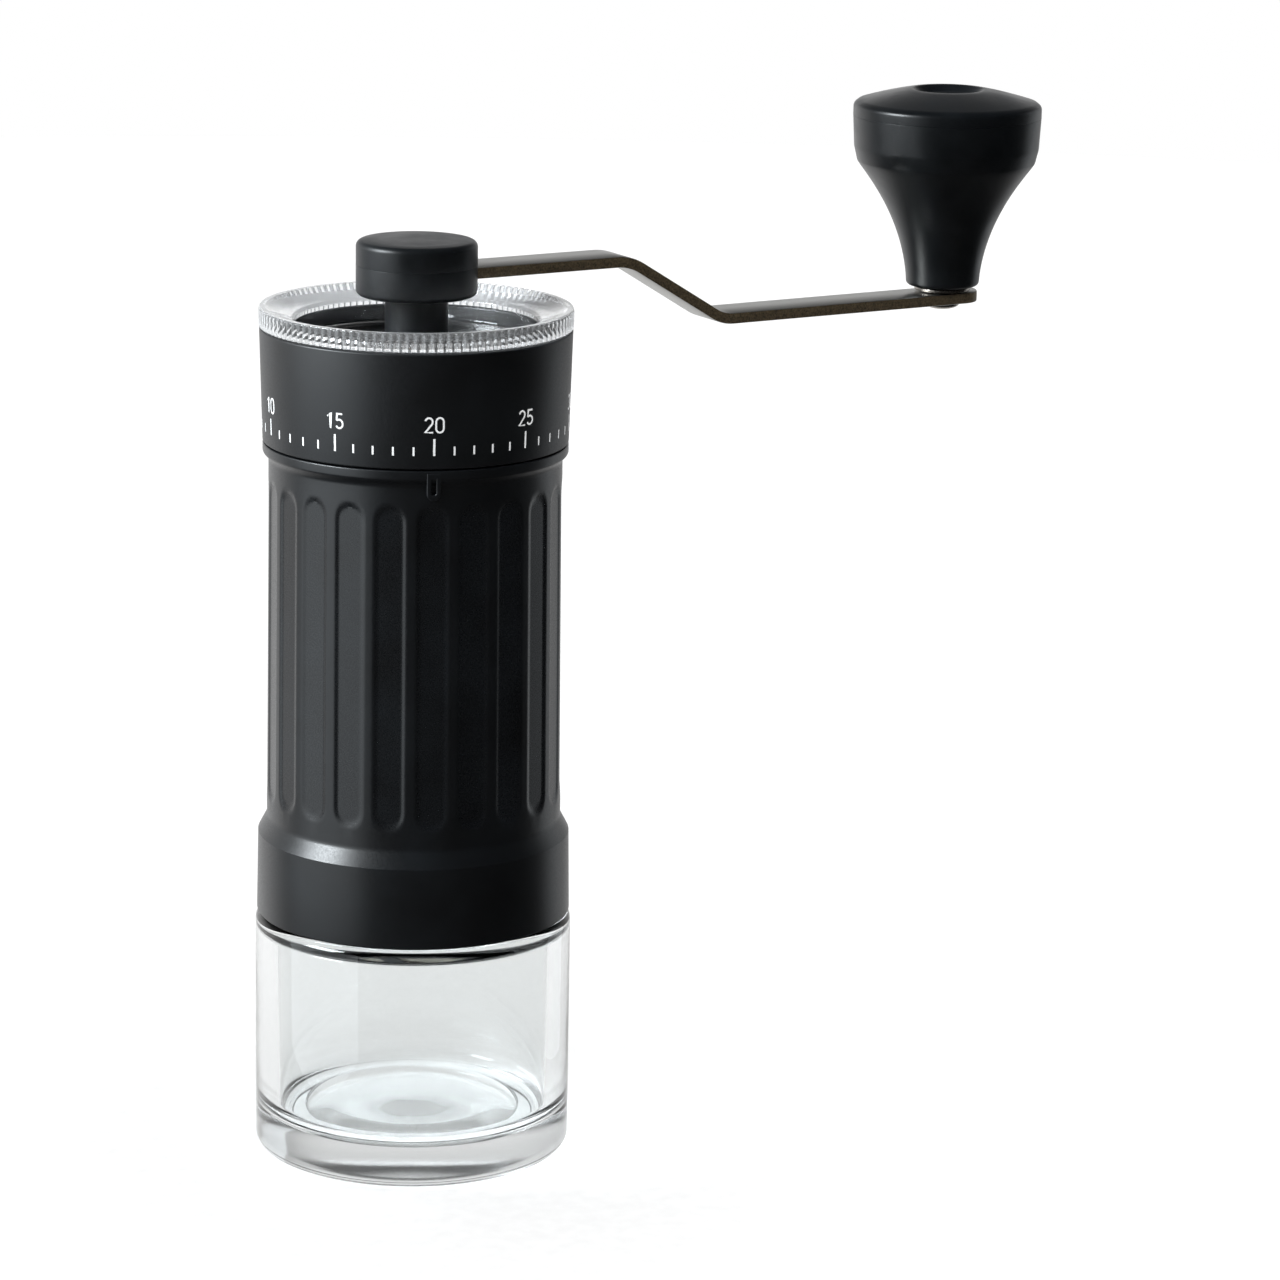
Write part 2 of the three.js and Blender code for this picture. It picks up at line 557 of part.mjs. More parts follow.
// ---------------------------------------------------------------- upper bearing
// Ring with spokes and a hub. Its keys reach down into the keyways of the body's neck.
function bearingCarrier() {
  const rim = ring(carrierRadius - CARRIER_RIM, carrierRadius, 0, CARRIER_HEIGHT, 40);
  const hub = rod(bushRadius + CARRIER_HUB_WALL, 0, CARRIER_HEIGHT, 24);
  const half = CARRIER_SPOKE / 2;
  const spokes = aroundKeys(() =>
    block(0, carrierRadius - PAST, -half, half, KEY_CLEAR, CARRIER_HEIGHT - KEY_CLEAR));
  const keyHalf = CARRIER_KEY_WIDTH / 2;
  const keys = aroundKeys(() =>
    block(neckBore + KEY_CLEAR, snapRingInner - GAP, -keyHalf, keyHalf,
      keyBottom + ADJUST_TRAVEL + GAP - carrierBottom, PAST));
  const bore = rod(bushRadius + BUSH_FIT, -PAST, CARRIER_HEIGHT + PAST, 24);
  const carrier = cut(join(rim, hub, ...spokes, ...keys), bore);
  return part('bearing_carrier', carrier, BLACK_PLASTIC, carrierBottom);
}

function upperBush() {
  const inner = SHAFT_RADIUS + RUNNING;
  const bush = ring(inner, bushRadius, 0, UPPER_BUSH_LENGTH, 24);
  return part('upper_bush', bush, BRONZE, upperBushBottom);
}

// ---------------------------------------------------------------- shaft
// Hexagon sections have their corners on the shaft's own radius.
function driveShaft() {
  const shoulder = burrTop + SHAFT_SHOULDER;
  const hexLow = burrBottom + HEX_INSIDE_BURR;
  const collarTop = upperBushBottom - GAP;
  const journalLow = endClipBottom - JOURNAL_END;
  const pieces = [
    rod(JOURNAL_RADIUS, journalLow, hexLow + OVERLAP, 24),
    rod(SHAFT_RADIUS, hexLow, shoulder + OVERLAP, 6),
    rod(SHAFT_RADIUS, shoulder, stemBottom - GAP, 24),
    rod(SHAFT_RADIUS + SHAFT_COLLAR, collarTop - SHAFT_COLLAR_HEIGHT, collarTop, 24),
    rod(SHAFT_RADIUS, stemBottom - GAP - OVERLAP, hexTop, 6),
  ];
  const upperGroove = clipGroove(SHAFT_RADIUS, CLIP_DEPTH, shaftClipBottom);
  const lowerGroove = clipGroove(JOURNAL_RADIUS, CLIP_DEPTH, endClipBottom);
  return part('drive_shaft', cut(join(...pieces), upperGroove, lowerGroove), SATIN_STEEL);
}

// Open circlip that sits in a groove of the given radius.
function circlip(name, grooveRadius, z) {
  const inner = grooveRadius + CLIP_CLEAR;
  const outer = inner + CLIP_WIDTH;
  const open = CLIP_OPENING / 2;
  const whole = ring(inner, outer, 0, CLIP_THICKNESS, 20);
  const opening = block(0, outer + PAST, -open, open, -PAST, CLIP_THICKNESS + PAST);
  return part(name, cut(whole, opening), SPRING_STEEL, z);
}

// ---------------------------------------------------------------- burrs
// Toothed cone: each layer is a star of teeth, turned a little further than the layer below.
function toothedCone(low, high, radiusAt, tooth, twist, layers) {
  const points = [];
  const index = [];
  const count = BURR_TEETH * 2;
  for (let layer = 0; layer <= layers; layer += 1) {
    const z = low + (high - low) * layer / layers;
    for (let i = 0; i < count; i += 1) {
      const radius = radiusAt(z) + (i % 2 ? tooth : 0);
      const angle = 2 * Math.PI * i / count + twist * layer / layers;
      points.push(radius * Math.cos(angle), radius * Math.sin(angle), z);
    }
  }
  const bottom = points.length / 3;
  points.push(0, 0, low, 0, 0, high);
  for (let i = 0; i < count; i += 1) {
    const next = (i + 1) % count;
    for (let layer = 0; layer < layers; layer += 1) {
      const a = layer * count;
      const b = a + count;
      index.push(a + i, a + next, b + next, a + i, b + next, b + i);
    }
    index.push(bottom, next, i);
    index.push(bottom + 1, layers * count + i, layers * count + next);
  }
  const geometry = new THREE.BufferGeometry();
  geometry.setAttribute('position', new THREE.Float32BufferAttribute(points, 3));
  geometry.setIndex(index);
  return geometry;
}

const mouthRadius = (z) => burrMouthRadius - BURR_SLOPE * z;

function outerBurr() {
  const blank = rod(outerBurrRadius, 0, BURR_HEIGHT, 32);
  const mouth = toothedCone(-PAST, BURR_HEIGHT + PAST, mouthRadius, TOOTH_DEPTH, BURR_TWIST, 4);
  return part('outer_burr', cut(blank, mouth), CERAMIC, burrBottom);
}

function innerBurr() {
  const height = BURR_HEIGHT + BURR_OVER;
  const rootRadius = (z) => mouthRadius(z) - BURR_GAP - TOOTH_DEPTH - BURR_OPENING * z;
  const cone = toothedCone(BURR_FOOT, height, rootRadius, TOOTH_DEPTH, -BURR_TWIST, 5);
  const bore = rod(SHAFT_RADIUS + HEX_CLEAR, -PAST, height + PAST, 6);
  const seatTop = springTop + GAP + ADJUST_TRAVEL - burrBottom;
  const springSeat = rod(springRadius + SPRING_WIRE, -PAST, seatTop, 30);
  return part('inner_burr', cut(cone, bore, springSeat), CERAMIC, burrBottom);
}

function burrSpring() {
  const turns = SPRING_TURNS;
  const rise = (SPRING_LENGTH - 2 * SPRING_WIRE) / turns;
  class Helix extends THREE.Curve {
    getPoint(t, target = new THREE.Vector3()) {
      const angle = 2 * Math.PI * turns * t;
      return target.set(springRadius * Math.cos(angle), springRadius * Math.sin(angle),
        SPRING_WIRE + rise * turns * t);
    }
  }
  const wire = new THREE.Shape(around(6, (angle) =>
    new THREE.Vector2(SPRING_WIRE / 2 * Math.cos(angle), SPRING_WIRE / 2 * Math.sin(angle))));
  const coil = new THREE.ExtrudeGeometry(wire, { steps: turns * 10, extrudePath: new Helix() });
  return part('burr_spring', coil, SPRING_STEEL, springBottom);
}

function thrustWasher() {
  const washer = ring(JOURNAL_RADIUS + SCREW_CLEAR, springRadius + SPRING_WIRE / 2, 0, THRUST_WASHER, 24);
  return part('thrust_washer', washer, SATIN_STEEL, thrustWasherBottom);
}

function burrHolder() {
  const height = ledgeBottom - GAP - holderBottom;
  const mouth = burrMouthRadius + HOLDER_MOUTH;
  const seatRadius = outerBurrRadius + GAP;
  const outline = [
    [mouth, 0], [holderRadius, 0], [holderRadius, height], [seatRadius, height],
    [seatRadius, HOLDER_FLOOR], [mouth, HOLDER_FLOOR],
  ];
  const holes = burrScrewHoles(-PAST, height + PAST);
  return part('burr_holder', cut(turned(outline, 36), ...holes), GREY_PLASTIC, holderBottom);
}

function hopperFunnel() {
  const low = ledgeTop + GAP;
  const throat = mouthRadius(BURR_HEIGHT) + TOOTH_DEPTH + GAP;
  const spout = ledgeBottom - low;
  const outer = hopperRadius - GAP;
  const outline = [
    [throat + FUNNEL_WALL, spout], [throat + FUNNEL_WALL, 0], [outer, 0], [outer, FUNNEL_HEIGHT],
    [outer - FUNNEL_EDGE, FUNNEL_HEIGHT], [throat, FUNNEL_FLOOR], [throat, spout],
  ];
  return part('hopper_funnel', turned(outline, 36), BLACK_PLASTIC, low);
}

function burrFrame() {
  const hubTopHeight = FRAME_HEIGHT + FRAME_HUB_RISE;
  const half = FRAME_ARM / 2;
  const rim = ring(ledgeRadius - FRAME_RIM_LAP, holderRadius, 0, FRAME_HEIGHT, 36);
  const hub = rod(lowerBushRadius + FRAME_HUB_WALL, 0, hubTopHeight, 24);
  const arms = around(BURR_SCREW_COUNT, (angle) =>
    block(0, holderRadius - PAST, -half, half, EDGE, FRAME_HEIGHT - EDGE).rotateZ(angle));
  const bore = rod(lowerBushRadius + BUSH_FIT, -PAST, hubTopHeight + PAST, 24);
  const holes = burrScrewHoles(-PAST, FRAME_HEIGHT + PAST);
  return part('burr_frame', cut(join(rim, hub, ...arms), bore, ...holes), GREY_PLASTIC, frameBottom);
}

function lowerBush() {
  const inner = JOURNAL_RADIUS + RUNNING;
  const bush = ring(inner, lowerBushRadius, 0, LOWER_BUSH_LENGTH, 24);
  return part('lower_bush', bush, BRONZE, frameBottom);
}

// Long pan head screw that clamps frame and holder up against the body's ledge.
function burrScrew(number, angle) {
  const length = ledgeTop - BURR_SCREW_ROOF - BURR_SCREW_END - frameBottom;
  const face = -BURR_SCREW_HEAD_HEIGHT - GAP;
  const outline = [
    [0, face], [BURR_SCREW_HEAD - EDGE, face], [BURR_SCREW_HEAD, face + EDGE],
    [BURR_SCREW_HEAD, -GAP], [BURR_SCREW_RADIUS, -GAP], [BURR_SCREW_RADIUS, length], [0, length],
  ];
  const screw = cut(turned(outline, 12), ...driverCross(DRIVER_CROSS, face, -1));
  const mesh = part(`burr_screw_${number}`, screw, SATIN_STEEL, frameBottom);
  mesh.position.x = burrScrewCircle * Math.cos(angle);
  mesh.position.y = burrScrewCircle * Math.sin(angle);
  return mesh;
}

// ---------------------------------------------------------------- crank
function crankHub() {
  const outline = [
    [0, stemBottom], [STEM_RADIUS - EDGE, stemBottom], [STEM_RADIUS, stemBottom + EDGE],
    [STEM_RADIUS, hubBottom], [HUB_RADIUS - HUB_EDGE, hubBottom], [HUB_RADIUS, hubBottom + HUB_EDGE],
    [HUB_RADIUS, hubTop], [0, hubTop],
  ];
  const half = ARM_WIDTH / 2 + GAP;
  const socket = rod(SHAFT_RADIUS + HEX_CLEAR, stemBottom - PAST, hexTop + GAP, 6);
  const armSlot = block(-ARM_EYE - ARM_EYE_CLEAR, HUB_RADIUS + PAST, -half, half,
    armBottom - GAP, hubTop + PAST);
  const screwHole = rod(HUB_SCREW_RADIUS + SCREW_CLEAR, hexTop + HUB_SCREW_REACH - GAP, hubTop, 20);
  return part('crank_hub', cut(turned(outline, 30), socket, armSlot, screwHole), BLACK_PLASTIC);
}

function hubCap() {
  const crown = (share) => CAP_HEIGHT - CAP_CROWN * share ** 2;
  const pocket = HUB_SCREW_HEAD + CAP_POCKET_CLEAR;
  const outline = [
    [0, CAP_POCKET], [pocket, CAP_POCKET], [pocket, 0], [HUB_RADIUS, 0],
    ...arc(HUB_RADIUS - CAP_ROUND, CAP_HEIGHT - CAP_ROUND - CAP_CROWN, CAP_ROUND, 0, 80, 3),
    [HUB_RADIUS / 2, crown(1 / 2)], [0, CAP_HEIGHT],
  ];
  return part('hub_cap', turned(outline, 30), BLACK_PLASTIC, capBottom);
}

function hubScrew() {
  const top = armBottom + ARM_THICKNESS + GAP;
  const tip = hexTop + HUB_SCREW_REACH - top;
  const outline = [
    [0, tip], [HUB_SCREW_RADIUS, tip], [HUB_SCREW_RADIUS, 0], [HUB_SCREW_HEAD, 0],
    [HUB_SCREW_HEAD, HUB_SCREW_HEAD_HEIGHT - HUB_SCREW_EDGE],
    [HUB_SCREW_HEAD - HUB_SCREW_EDGE, HUB_SCREW_HEAD_HEIGHT], [0, HUB_SCREW_HEAD_HEIGHT],
  ];
  const screw = cut(turned(outline, 16), ...driverCross(HUB_DRIVER_CROSS, HUB_SCREW_HEAD_HEIGHT, 1));
  return part('hub_screw', screw, SATIN_STEEL, top);
}

// Points of the strip's bent middle line, in the plane of the arm.
function armLine() {
  const corners = [[0, 0], [ARM_FIRST_BEND, 0], [ARM_SECOND_BEND, -ARM_DROP], [ARM_LENGTH, -ARM_DROP]]
    .map(([x, z]) => new THREE.Vector2(x, z));
  const line = [corners[0]];
  for (const i of [1, 2]) {
    const before = corners[i - 1].clone().sub(corners[i]).normalize();
    const after = corners[i + 1].clone().sub(corners[i]).normalize();
    const turn = (Math.PI - before.angleTo(after)) / 2;
    const run = ARM_BEND_RADIUS * Math.tan(turn);
    const start = corners[i].clone().addScaledVector(before, run);
    const end = corners[i].clone().addScaledVector(after, run);
    const bend = new THREE.QuadraticBezierCurve(start, corners[i], end);
    line.push(...bend.getPoints(5));
  }
  line.push(corners[3].clone().setX(ARM_LENGTH + ARM_TIP));
  return line;
}

// Outline of the strip seen from the side: the middle line and its copy, one thickness higher.
function armSide() {
  const line = armLine();
  const back = line.map((point, i) => {
    const after = line[Math.min(i + 1, line.length - 1)];
    const along = after.clone().sub(line[Math.max(i - 1, 0)]).normalize();
    return new THREE.Vector2(-along.y, along.x).multiplyScalar(ARM_THICKNESS).add(point);
  });
  return new THREE.Shape([...line, ...back.reverse()]);
}

function crankArm() {
  const half = ARM_WIDTH / 2;
  const outer = -ARM_DROP;
  const top = ARM_THICKNESS + PAST;
  const strip = new THREE.ExtrudeGeometry(armSide(), { depth: ARM_WIDTH, bevelEnabled: false })
    .rotateX(Math.PI / 2)
    .translate(0, half, 0);
  const tipCentre = ARM_LENGTH + ARM_TIP - half;
  const roundTip = join(
    rod(half, outer - PAST, outer + top, 32).translate(tipCentre, 0, 0),
    block(-PAST, tipCentre, -ARM_WIDTH, ARM_WIDTH, outer - PAST, top),
  );
  const eye = solid(rod(ARM_EYE, 0, ARM_THICKNESS, 36))
    .intersect(solid(block(-ARM_EYE, ARM_EYE, -half, half, -PAST, top)));
  const whole = geometryOf(solid(strip).intersect(solid(roundTip)).add(eye));
  const screwHole = rod(HUB_SCREW_RADIUS + SCREW_CLEAR, -PAST, top, 20);
  const pinHole = rod(KNOB_PIN_RADIUS + SCREW_CLEAR, outer - PAST, outer + top, 24)
    .translate(ARM_LENGTH, 0, 0);
  return part('crank_arm', cut(whole, screwHole, pinHole), SATIN_STEEL, armBottom);
}

// ---------------------------------------------------------------- knob
function knobBody() {
  const bandLow = KNOB_HEIGHT - KNOB_BAND;
  const throat = new THREE.CubicBezierCurve(
    new THREE.Vector2(KNOB_FOOT_RADIUS, 3 * EDGE),
    new THREE.Vector2(KNOB_FOOT_RADIUS + 1.1, bandLow * 0.59),
    new THREE.Vector2(KNOB_RADIUS - 1.3, bandLow - 1.3),
    new THREE.Vector2(KNOB_RADIUS - 1.0, bandLow),
  );
  const bore = KNOB_PIN_RADIUS + RUNNING;
  const cavity = KNOB_RADIUS - KNOB_WALL;
  const outline = [
    [bore, 0], [KNOB_FOOT_RADIUS - 3 * EDGE, 0],
    ...throat.getPoints(6).map((p) => [p.x, p.y]),
    [KNOB_RADIUS - EDGE, bandLow + KNOB_BAND_ROUND], [KNOB_RADIUS, KNOB_HEIGHT],
    [cavity, KNOB_HEIGHT], [cavity, cavityFloor], [bore, cavityFloor],
  ];
  return part('knob_body', turned(outline, 30), BLACK_PLASTIC);
}

function knobCap() {
  const plug = KNOB_RADIUS - KNOB_WALL - GAP;
  const shoulder = new THREE.QuadraticBezierCurve(
    new THREE.Vector2(KNOB_RADIUS - 0.7, CROWN_SIDE + 1.0),
    new THREE.Vector2(KNOB_RADIUS * 0.72, CROWN_HEIGHT - 1.0),
    new THREE.Vector2(CROWN_DIMPLE_RADIUS + EDGE, CROWN_HEIGHT),
  );
  const dimpleFloor = CROWN_HEIGHT - CROWN_DIMPLE_DEPTH;
  const outline = [
    [0, -CROWN_PLUG], [plug, -CROWN_PLUG], [plug, 0], [KNOB_RADIUS, 0], [KNOB_RADIUS, CROWN_SIDE],
    ...shoulder.getPoints(4).map((p) => [p.x, p.y]),
    [CROWN_DIMPLE_RADIUS - 2 * EDGE, CROWN_HEIGHT - 2 * EDGE],
    [CROWN_DIMPLE_RADIUS / 2, dimpleFloor + 2 * EDGE], [0, dimpleFloor],
  ];
  return part('knob_cap', turned(outline, 30), BLACK_PLASTIC, KNOB_HEIGHT + GAP);
}

// Heights of the knob's own pieces are measured from the knob's foot.
function knobPin() {
  const headTop = armOuterTop - ARM_THICKNESS - GAP - knobFoot;
  const tip = knobClipBottom + CLIP_THICKNESS + CLIP_CLEAR + PIN_END;
  const outline = [
    [0, headTop - PIN_HEAD_HEIGHT],
    ...[30, 60, 90].map((degrees) => [
      PIN_HEAD_RADIUS * Math.sin(radians(degrees)),
      headTop - PIN_HEAD_HEIGHT * Math.cos(radians(degrees)),
    ]),
    [KNOB_PIN_RADIUS, headTop], [KNOB_PIN_RADIUS, tip], [0, tip],
  ];
  const groove = clipGroove(KNOB_PIN_RADIUS, PIN_GROOVE, knobClipBottom);
  return part('knob_pin', cut(turned(outline, 20), groove), SATIN_STEEL);
}

function knobWasher() {
  const washer = ring(KNOB_PIN_RADIUS + SCREW_CLEAR, WASHER_RADIUS, 0, WASHER_THICKNESS, 24);
  return part('knob_washer', washer, SATIN_STEEL, -GAP - WASHER_THICKNESS);
}

// ---------------------------------------------------------------- assembly
const grinder = new THREE.Group();
grinder.add(glassJar(), jarGasket(), housing());
grinder.add(dialRing(), dialSnapRing(), detentLeaf(), clearLid());
grinder.add(bearingCarrier(), upperBush());
grinder.add(hopperFunnel(), burrHolder(), outerBurr(), burrFrame(), lowerBush());
grinder.add(...around(BURR_SCREW_COUNT, (angle, i) => burrScrew(i + 1, angle)));

const shaftGroup = new THREE.Group();
shaftGroup.rotation.z = radians(CRANK_ANGLE);
shaftGroup.add(driveShaft(), innerBurr(), burrSpring(), thrustWasher());
shaftGroup.add(circlip('shaft_clip', SHAFT_RADIUS - CLIP_DEPTH, shaftClipBottom));
shaftGroup.add(circlip('shaft_end_clip', JOURNAL_RADIUS - CLIP_DEPTH, endClipBottom));
shaftGroup.add(crankHub(), hubCap(), hubScrew(), crankArm());

const knobGroup = new THREE.Group();
knobGroup.position.set(ARM_LENGTH, 0, knobFoot);
knobGroup.add(knobPin(), knobWasher(), knobBody(), knobCap());
knobGroup.add(circlip('knob_clip', KNOB_PIN_RADIUS - PIN_GROOVE, knobClipBottom));
shaftGroup.add(knobGroup);
grinder.add(shaftGroup);

export default grinder;
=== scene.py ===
import math

import bmesh
import bpy
from mathutils import Matrix, Vector


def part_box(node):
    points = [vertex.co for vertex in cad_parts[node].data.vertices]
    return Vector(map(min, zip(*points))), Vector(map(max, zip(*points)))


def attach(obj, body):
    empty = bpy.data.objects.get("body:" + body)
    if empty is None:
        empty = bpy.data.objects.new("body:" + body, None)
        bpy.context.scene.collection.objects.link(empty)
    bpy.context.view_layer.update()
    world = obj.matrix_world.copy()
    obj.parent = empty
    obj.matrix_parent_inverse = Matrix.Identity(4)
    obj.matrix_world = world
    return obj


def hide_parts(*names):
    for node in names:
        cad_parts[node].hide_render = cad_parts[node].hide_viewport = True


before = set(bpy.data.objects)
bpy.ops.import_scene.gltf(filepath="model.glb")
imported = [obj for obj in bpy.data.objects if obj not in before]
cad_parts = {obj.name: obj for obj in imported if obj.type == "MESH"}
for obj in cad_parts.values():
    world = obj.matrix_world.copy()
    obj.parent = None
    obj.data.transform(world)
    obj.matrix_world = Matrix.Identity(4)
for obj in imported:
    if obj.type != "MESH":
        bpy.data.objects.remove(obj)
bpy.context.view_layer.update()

MM = 0.001
CREASE = 32                       # degrees: a sharper edge than this stays a crease


# ------------------------------------------------------------------ sizes read from the frame
def low_high(node):
    """A node's lowest and highest corner in millimetres."""
    low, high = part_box(node)
    return low / MM, high / MM


def round_node(node):
    """Radius, lowest and highest height in millimetres of a round node that stands upright."""
    low, high = low_high(node)
    return (high.y - low.y) / 2, low.z, high.z


JAR_R, _, JAR_NECK_TOP = round_node("glass_jar")
BODY_R, BODY_LOW, BODY_NECK_TOP = round_node("housing")
DIAL_R, DIAL_LOW, DIAL_HIGH = round_node("dial_ring")
LID_R, LID_LOW, LID_COLLAR_TOP = round_node("clear_lid")
HUB_R, CAP_LOW, CAP_HIGH = round_node("hub_cap")
_, STEM_LOW, HUB_HIGH = round_node("crank_hub")
KNOB_R, KNOB_LOW, KNOB_HIGH = round_node("knob_body")
_, CROWN_LOW, CROWN_HIGH = round_node("knob_cap")
WASHER_R, WASHER_LOW, WASHER_HIGH = round_node("knob_washer")
PIN_R, PIN_LOW, PIN_HIGH = round_node("knob_pin")
ARM_LOW, ARM_HIGH = (corner.z for corner in low_high("crank_arm"))
washer_low, washer_high = low_high("knob_washer")
KNOB_X = (washer_low.x + washer_high.x) / 2
KNOB_Y = (washer_low.y + washer_high.y) / 2
ARM_LENGTH = math.hypot(KNOB_X, KNOB_Y)
CRANK_ANGLE = math.atan2(KNOB_Y, KNOB_X)
DIAL_GAP = 0.3                    # between the dial and the body's lip, and between dial and lid
LIP_TOP = DIAL_LOW - DIAL_GAP
COLLAR_RISE = 0.4                 # from the lid's rim up to the top of the frame's collar
LID_TOP = LID_COLLAR_TOP - COLLAR_RISE
DIAL_TAPER = 0.67                 # the dial's radius at its top less that at its foot
LIP_R = DIAL_R - DIAL_TAPER


# ------------------------------------------------------------------ mesh helpers
def rounded(corners, steps):
    """Outline with its corners filleted. Each corner is (radius, height) or (radius, height, fillet)."""
    longest_cut = 0.49            # share of a side that one fillet may take
    outline = []
    count = len(corners)
    for i, corner in enumerate(corners):
        here = Vector(corner[:2])
        fillet = corner[2] if len(corner) > 2 else 0
        if not fillet:
            outline.append(tuple(here))
            continue
        before = Vector(corners[i - 1][:2]) - here
        after = Vector(corners[(i + 1) % count][:2]) - here
        half = before.angle(after) / 2
        run = min(fillet / math.tan(half), longest_cut * before.length, longest_cut * after.length)
        start = here + before.normalized() * run
        end = here + after.normalized() * run
        radius = run * math.tan(half)
        inward = (before.normalized() + after.normalized()).normalized()
        centre = here + inward * radius / math.sin(half)
        first, last = start - centre, end - centre
        for k in range(steps + 1):
            arm = first.normalized().slerp(last.normalized(), k / steps)
            outline.append(tuple(centre + arm * radius))
    return outline


def finish_mesh(name, bm, sharp=CREASE):
    """Object from a bmesh in millimetres: merged, outward, smooth, with its creases kept."""
    same_point = 1e-5
    bmesh.ops.remove_doubles(bm, verts=bm.verts, dist=same_point)
    bmesh.ops.recalc_face_normals(bm, faces=bm.faces)
    bmesh.ops.scale(bm, vec=(MM, MM, MM), verts=bm.verts)
    mesh = bpy.data.meshes.new(name)
    bm.to_mesh(mesh)
    bm.free()
    mesh.shade_smooth()
    mesh.set_sharp_from_angle(angle=math.radians(sharp))
    obj = bpy.data.objects.new(name, mesh)
    bpy.context.scene.collection.objects.link(obj)
    return obj


def sweep_rows(rows, closed):
    """Bmesh whose rows are rings of points. Closed joins the last row to the first."""
    bm = bmesh.new()
    made = [[bm.verts.new(point) for point in row] for row in rows]
    pairs = list(zip(made, made[1:]))
    if closed:
        pairs.append((made[-1], made[0]))
    for below, above in pairs:
        count = len(below)
        for i in range(count):
            j = (i + 1) % count
            bm.faces.new((below[i], below[j], above[j], above[i]))
    return bm


def turned_rows(outline, steps, radius_at=None):
    """Rings of a turned outline. radius_at(r, z, angle) can carve the outline by angle."""
    rows = []
    for r, z in outline:
        row = []
        for i in range(steps):
            angle = 2 * math.pi * i / steps
            radius = radius_at(r, z, angle) if radius_at else r
            row.append((radius * math.cos(angle), radius * math.sin(angle), z))
        rows.append(row)
    return rows


def turned(name, outline, steps, centre=(0, 0), sharp=CREASE, radius_at=None):
    """Closed turned piece. An outline that starts and ends on the axis is closed there."""
    zero = 1e-6
    on_axis = outline[0][0] < zero and outline[-1][0] < zero
    inner = outline[1:-1] if on_axis else outline
    bm = sweep_rows(turned_rows(inner, steps, radius_at), closed=not on_axis)
    if on_axis:
        bm.verts.ensure_lookup_table()
        for end, first in ((outline[0], 0), (outline[-1], len(bm.verts) - steps)):
            tip = bm.verts.new((0, 0, end[1]))
            bm.verts.ensure_lookup_table()
            for i in range(steps):
                bm.faces.new((bm.verts[first + i], bm.verts[first + (i + 1) % steps], tip))
    bmesh.ops.translate(bm, vec=(centre[0], centre[1], 0), verts=bm.verts)
    return finish_mesh(name, bm, sharp)


def ring_outline(inner, outer, low, high, edge):
    """Outline of a flat ring with rounded edges."""
    return rounded([(inner, low, edge), (outer, low, edge), (outer, high, edge), (inner, high, edge)], 2)


def turn_about_axis(obj, angle):
    """Turns a piece's mesh round the grinder's axis."""
    obj.data.transform(Matrix.Rotation(angle, 4, "Z"))


def place(obj, body, slot, material, *replaced):
    """Gives a new piece its material and body, and hides the CAD nodes that it stands for. The slot is not
    used.
    """
    obj.data.materials.clear()
    obj.data.materials.append(material)
    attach(obj, body)
    if replaced:
        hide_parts(*replaced)


def across(face):
    """Distance of a face's middle from the grinder's axis, in millimetres."""
    return math.hypot(face.center.x, face.center.y) / MM


def height_of(face):
    """Height of a face's middle in millimetres."""
    return face.center.z / MM


def refinish(obj, material, chosen):
    """Gives a second material to the faces that a test chooses."""
    obj.data.materials.append(material)
    for face in obj.data.polygons:
        if chosen(face):
            face.material_index = 1


def carve(obj, cutter):
    """Cuts one mesh out of another and removes the cutter."""
    modifier = obj.modifiers.new("cut", "BOOLEAN")
    modifier.operation = "DIFFERENCE"
    modifier.solver = "EXACT"
    modifier.object = cutter
    graph = bpy.context.evaluated_depsgraph_get()
    mesh = bpy.data.meshes.new_from_object(obj.evaluated_get(graph))
    obj.modifiers.clear()
    obj.data = mesh
    bpy.data.objects.remove(cutter)
    mesh.shade_smooth()
    mesh.set_sharp_from_angle(angle=math.radians(CREASE))


def block(name, low, high):
    """Box between two corners."""
    bm = bmesh.new()
    bmesh.ops.create_cube(bm, size=1)
    size = Vector(high) - Vector(low)
    bmesh.ops.scale(bm, vec=size, verts=bm.verts)
    bmesh.ops.translate(bm, vec=(Vector(high) + Vector(low)) / 2, verts=bm.verts)
    return finish_mesh(name, bm)


# ------------------------------------------------------------------ material helpers
def linear(hex_colour):
    """Linear colour of an sRGB hex value."""
    channels = [int(hex_colour[i:i + 2], 16) / 255 for i in (1, 3, 5)]
    return [c / 12.92 if c <= 0.04045 else ((c + 0.055) / 1.055) ** 2.4 for c in channels] + [1.0]


def node(tree, kind, settings=None, inputs=None, links=None):
    """Adds a node, sets its properties and input values, and links its inputs."""
    made = tree.nodes.new(kind)
    for key, value in (settings or {}).items():
        setattr(made, key, value)
    for key, value in (inputs or {}).items():
        made.inputs[key].default_value = value
    for key, source in (links or {}).items():
        tree.links.new(source, made.inputs[key])
    return made


def new_material(name, **shader_values):
    """Material with a Principled shader whose plain values are set on its own sockets."""
    material = bpy.data.materials.new(name)
    material.use_nodes = True
    tree = material.node_tree
    shader = tree.nodes["Principled BSDF"]
    for key, value in shader_values.items():
        shader.inputs[key.replace("_", " ")].default_value = value
    return material, tree, shader


def connect(tree, shader, colour=None, roughness=None, normal=None):
    """Links the patterns of a finish to its shader."""
    for key, source in (("Base Color", colour), ("Roughness", roughness), ("Normal", normal)):
        if source is not None:
            tree.links.new(source, shader.inputs[key])


def object_point(tree):
    """Coordinates in metres, fixed to the piece."""
    return node(tree, "ShaderNodeTexCoord").outputs["Object"]


def grain(tree, point, size_mm, detail):
    """Noise whose features are size_mm across."""
    inputs = {"Scale": 1 / (size_mm * MM), "Detail": detail, "Roughness": 0.6}
    return node(tree, "ShaderNodeTexNoise", inputs=inputs, links={"Vector": point}).outputs["Fac"]


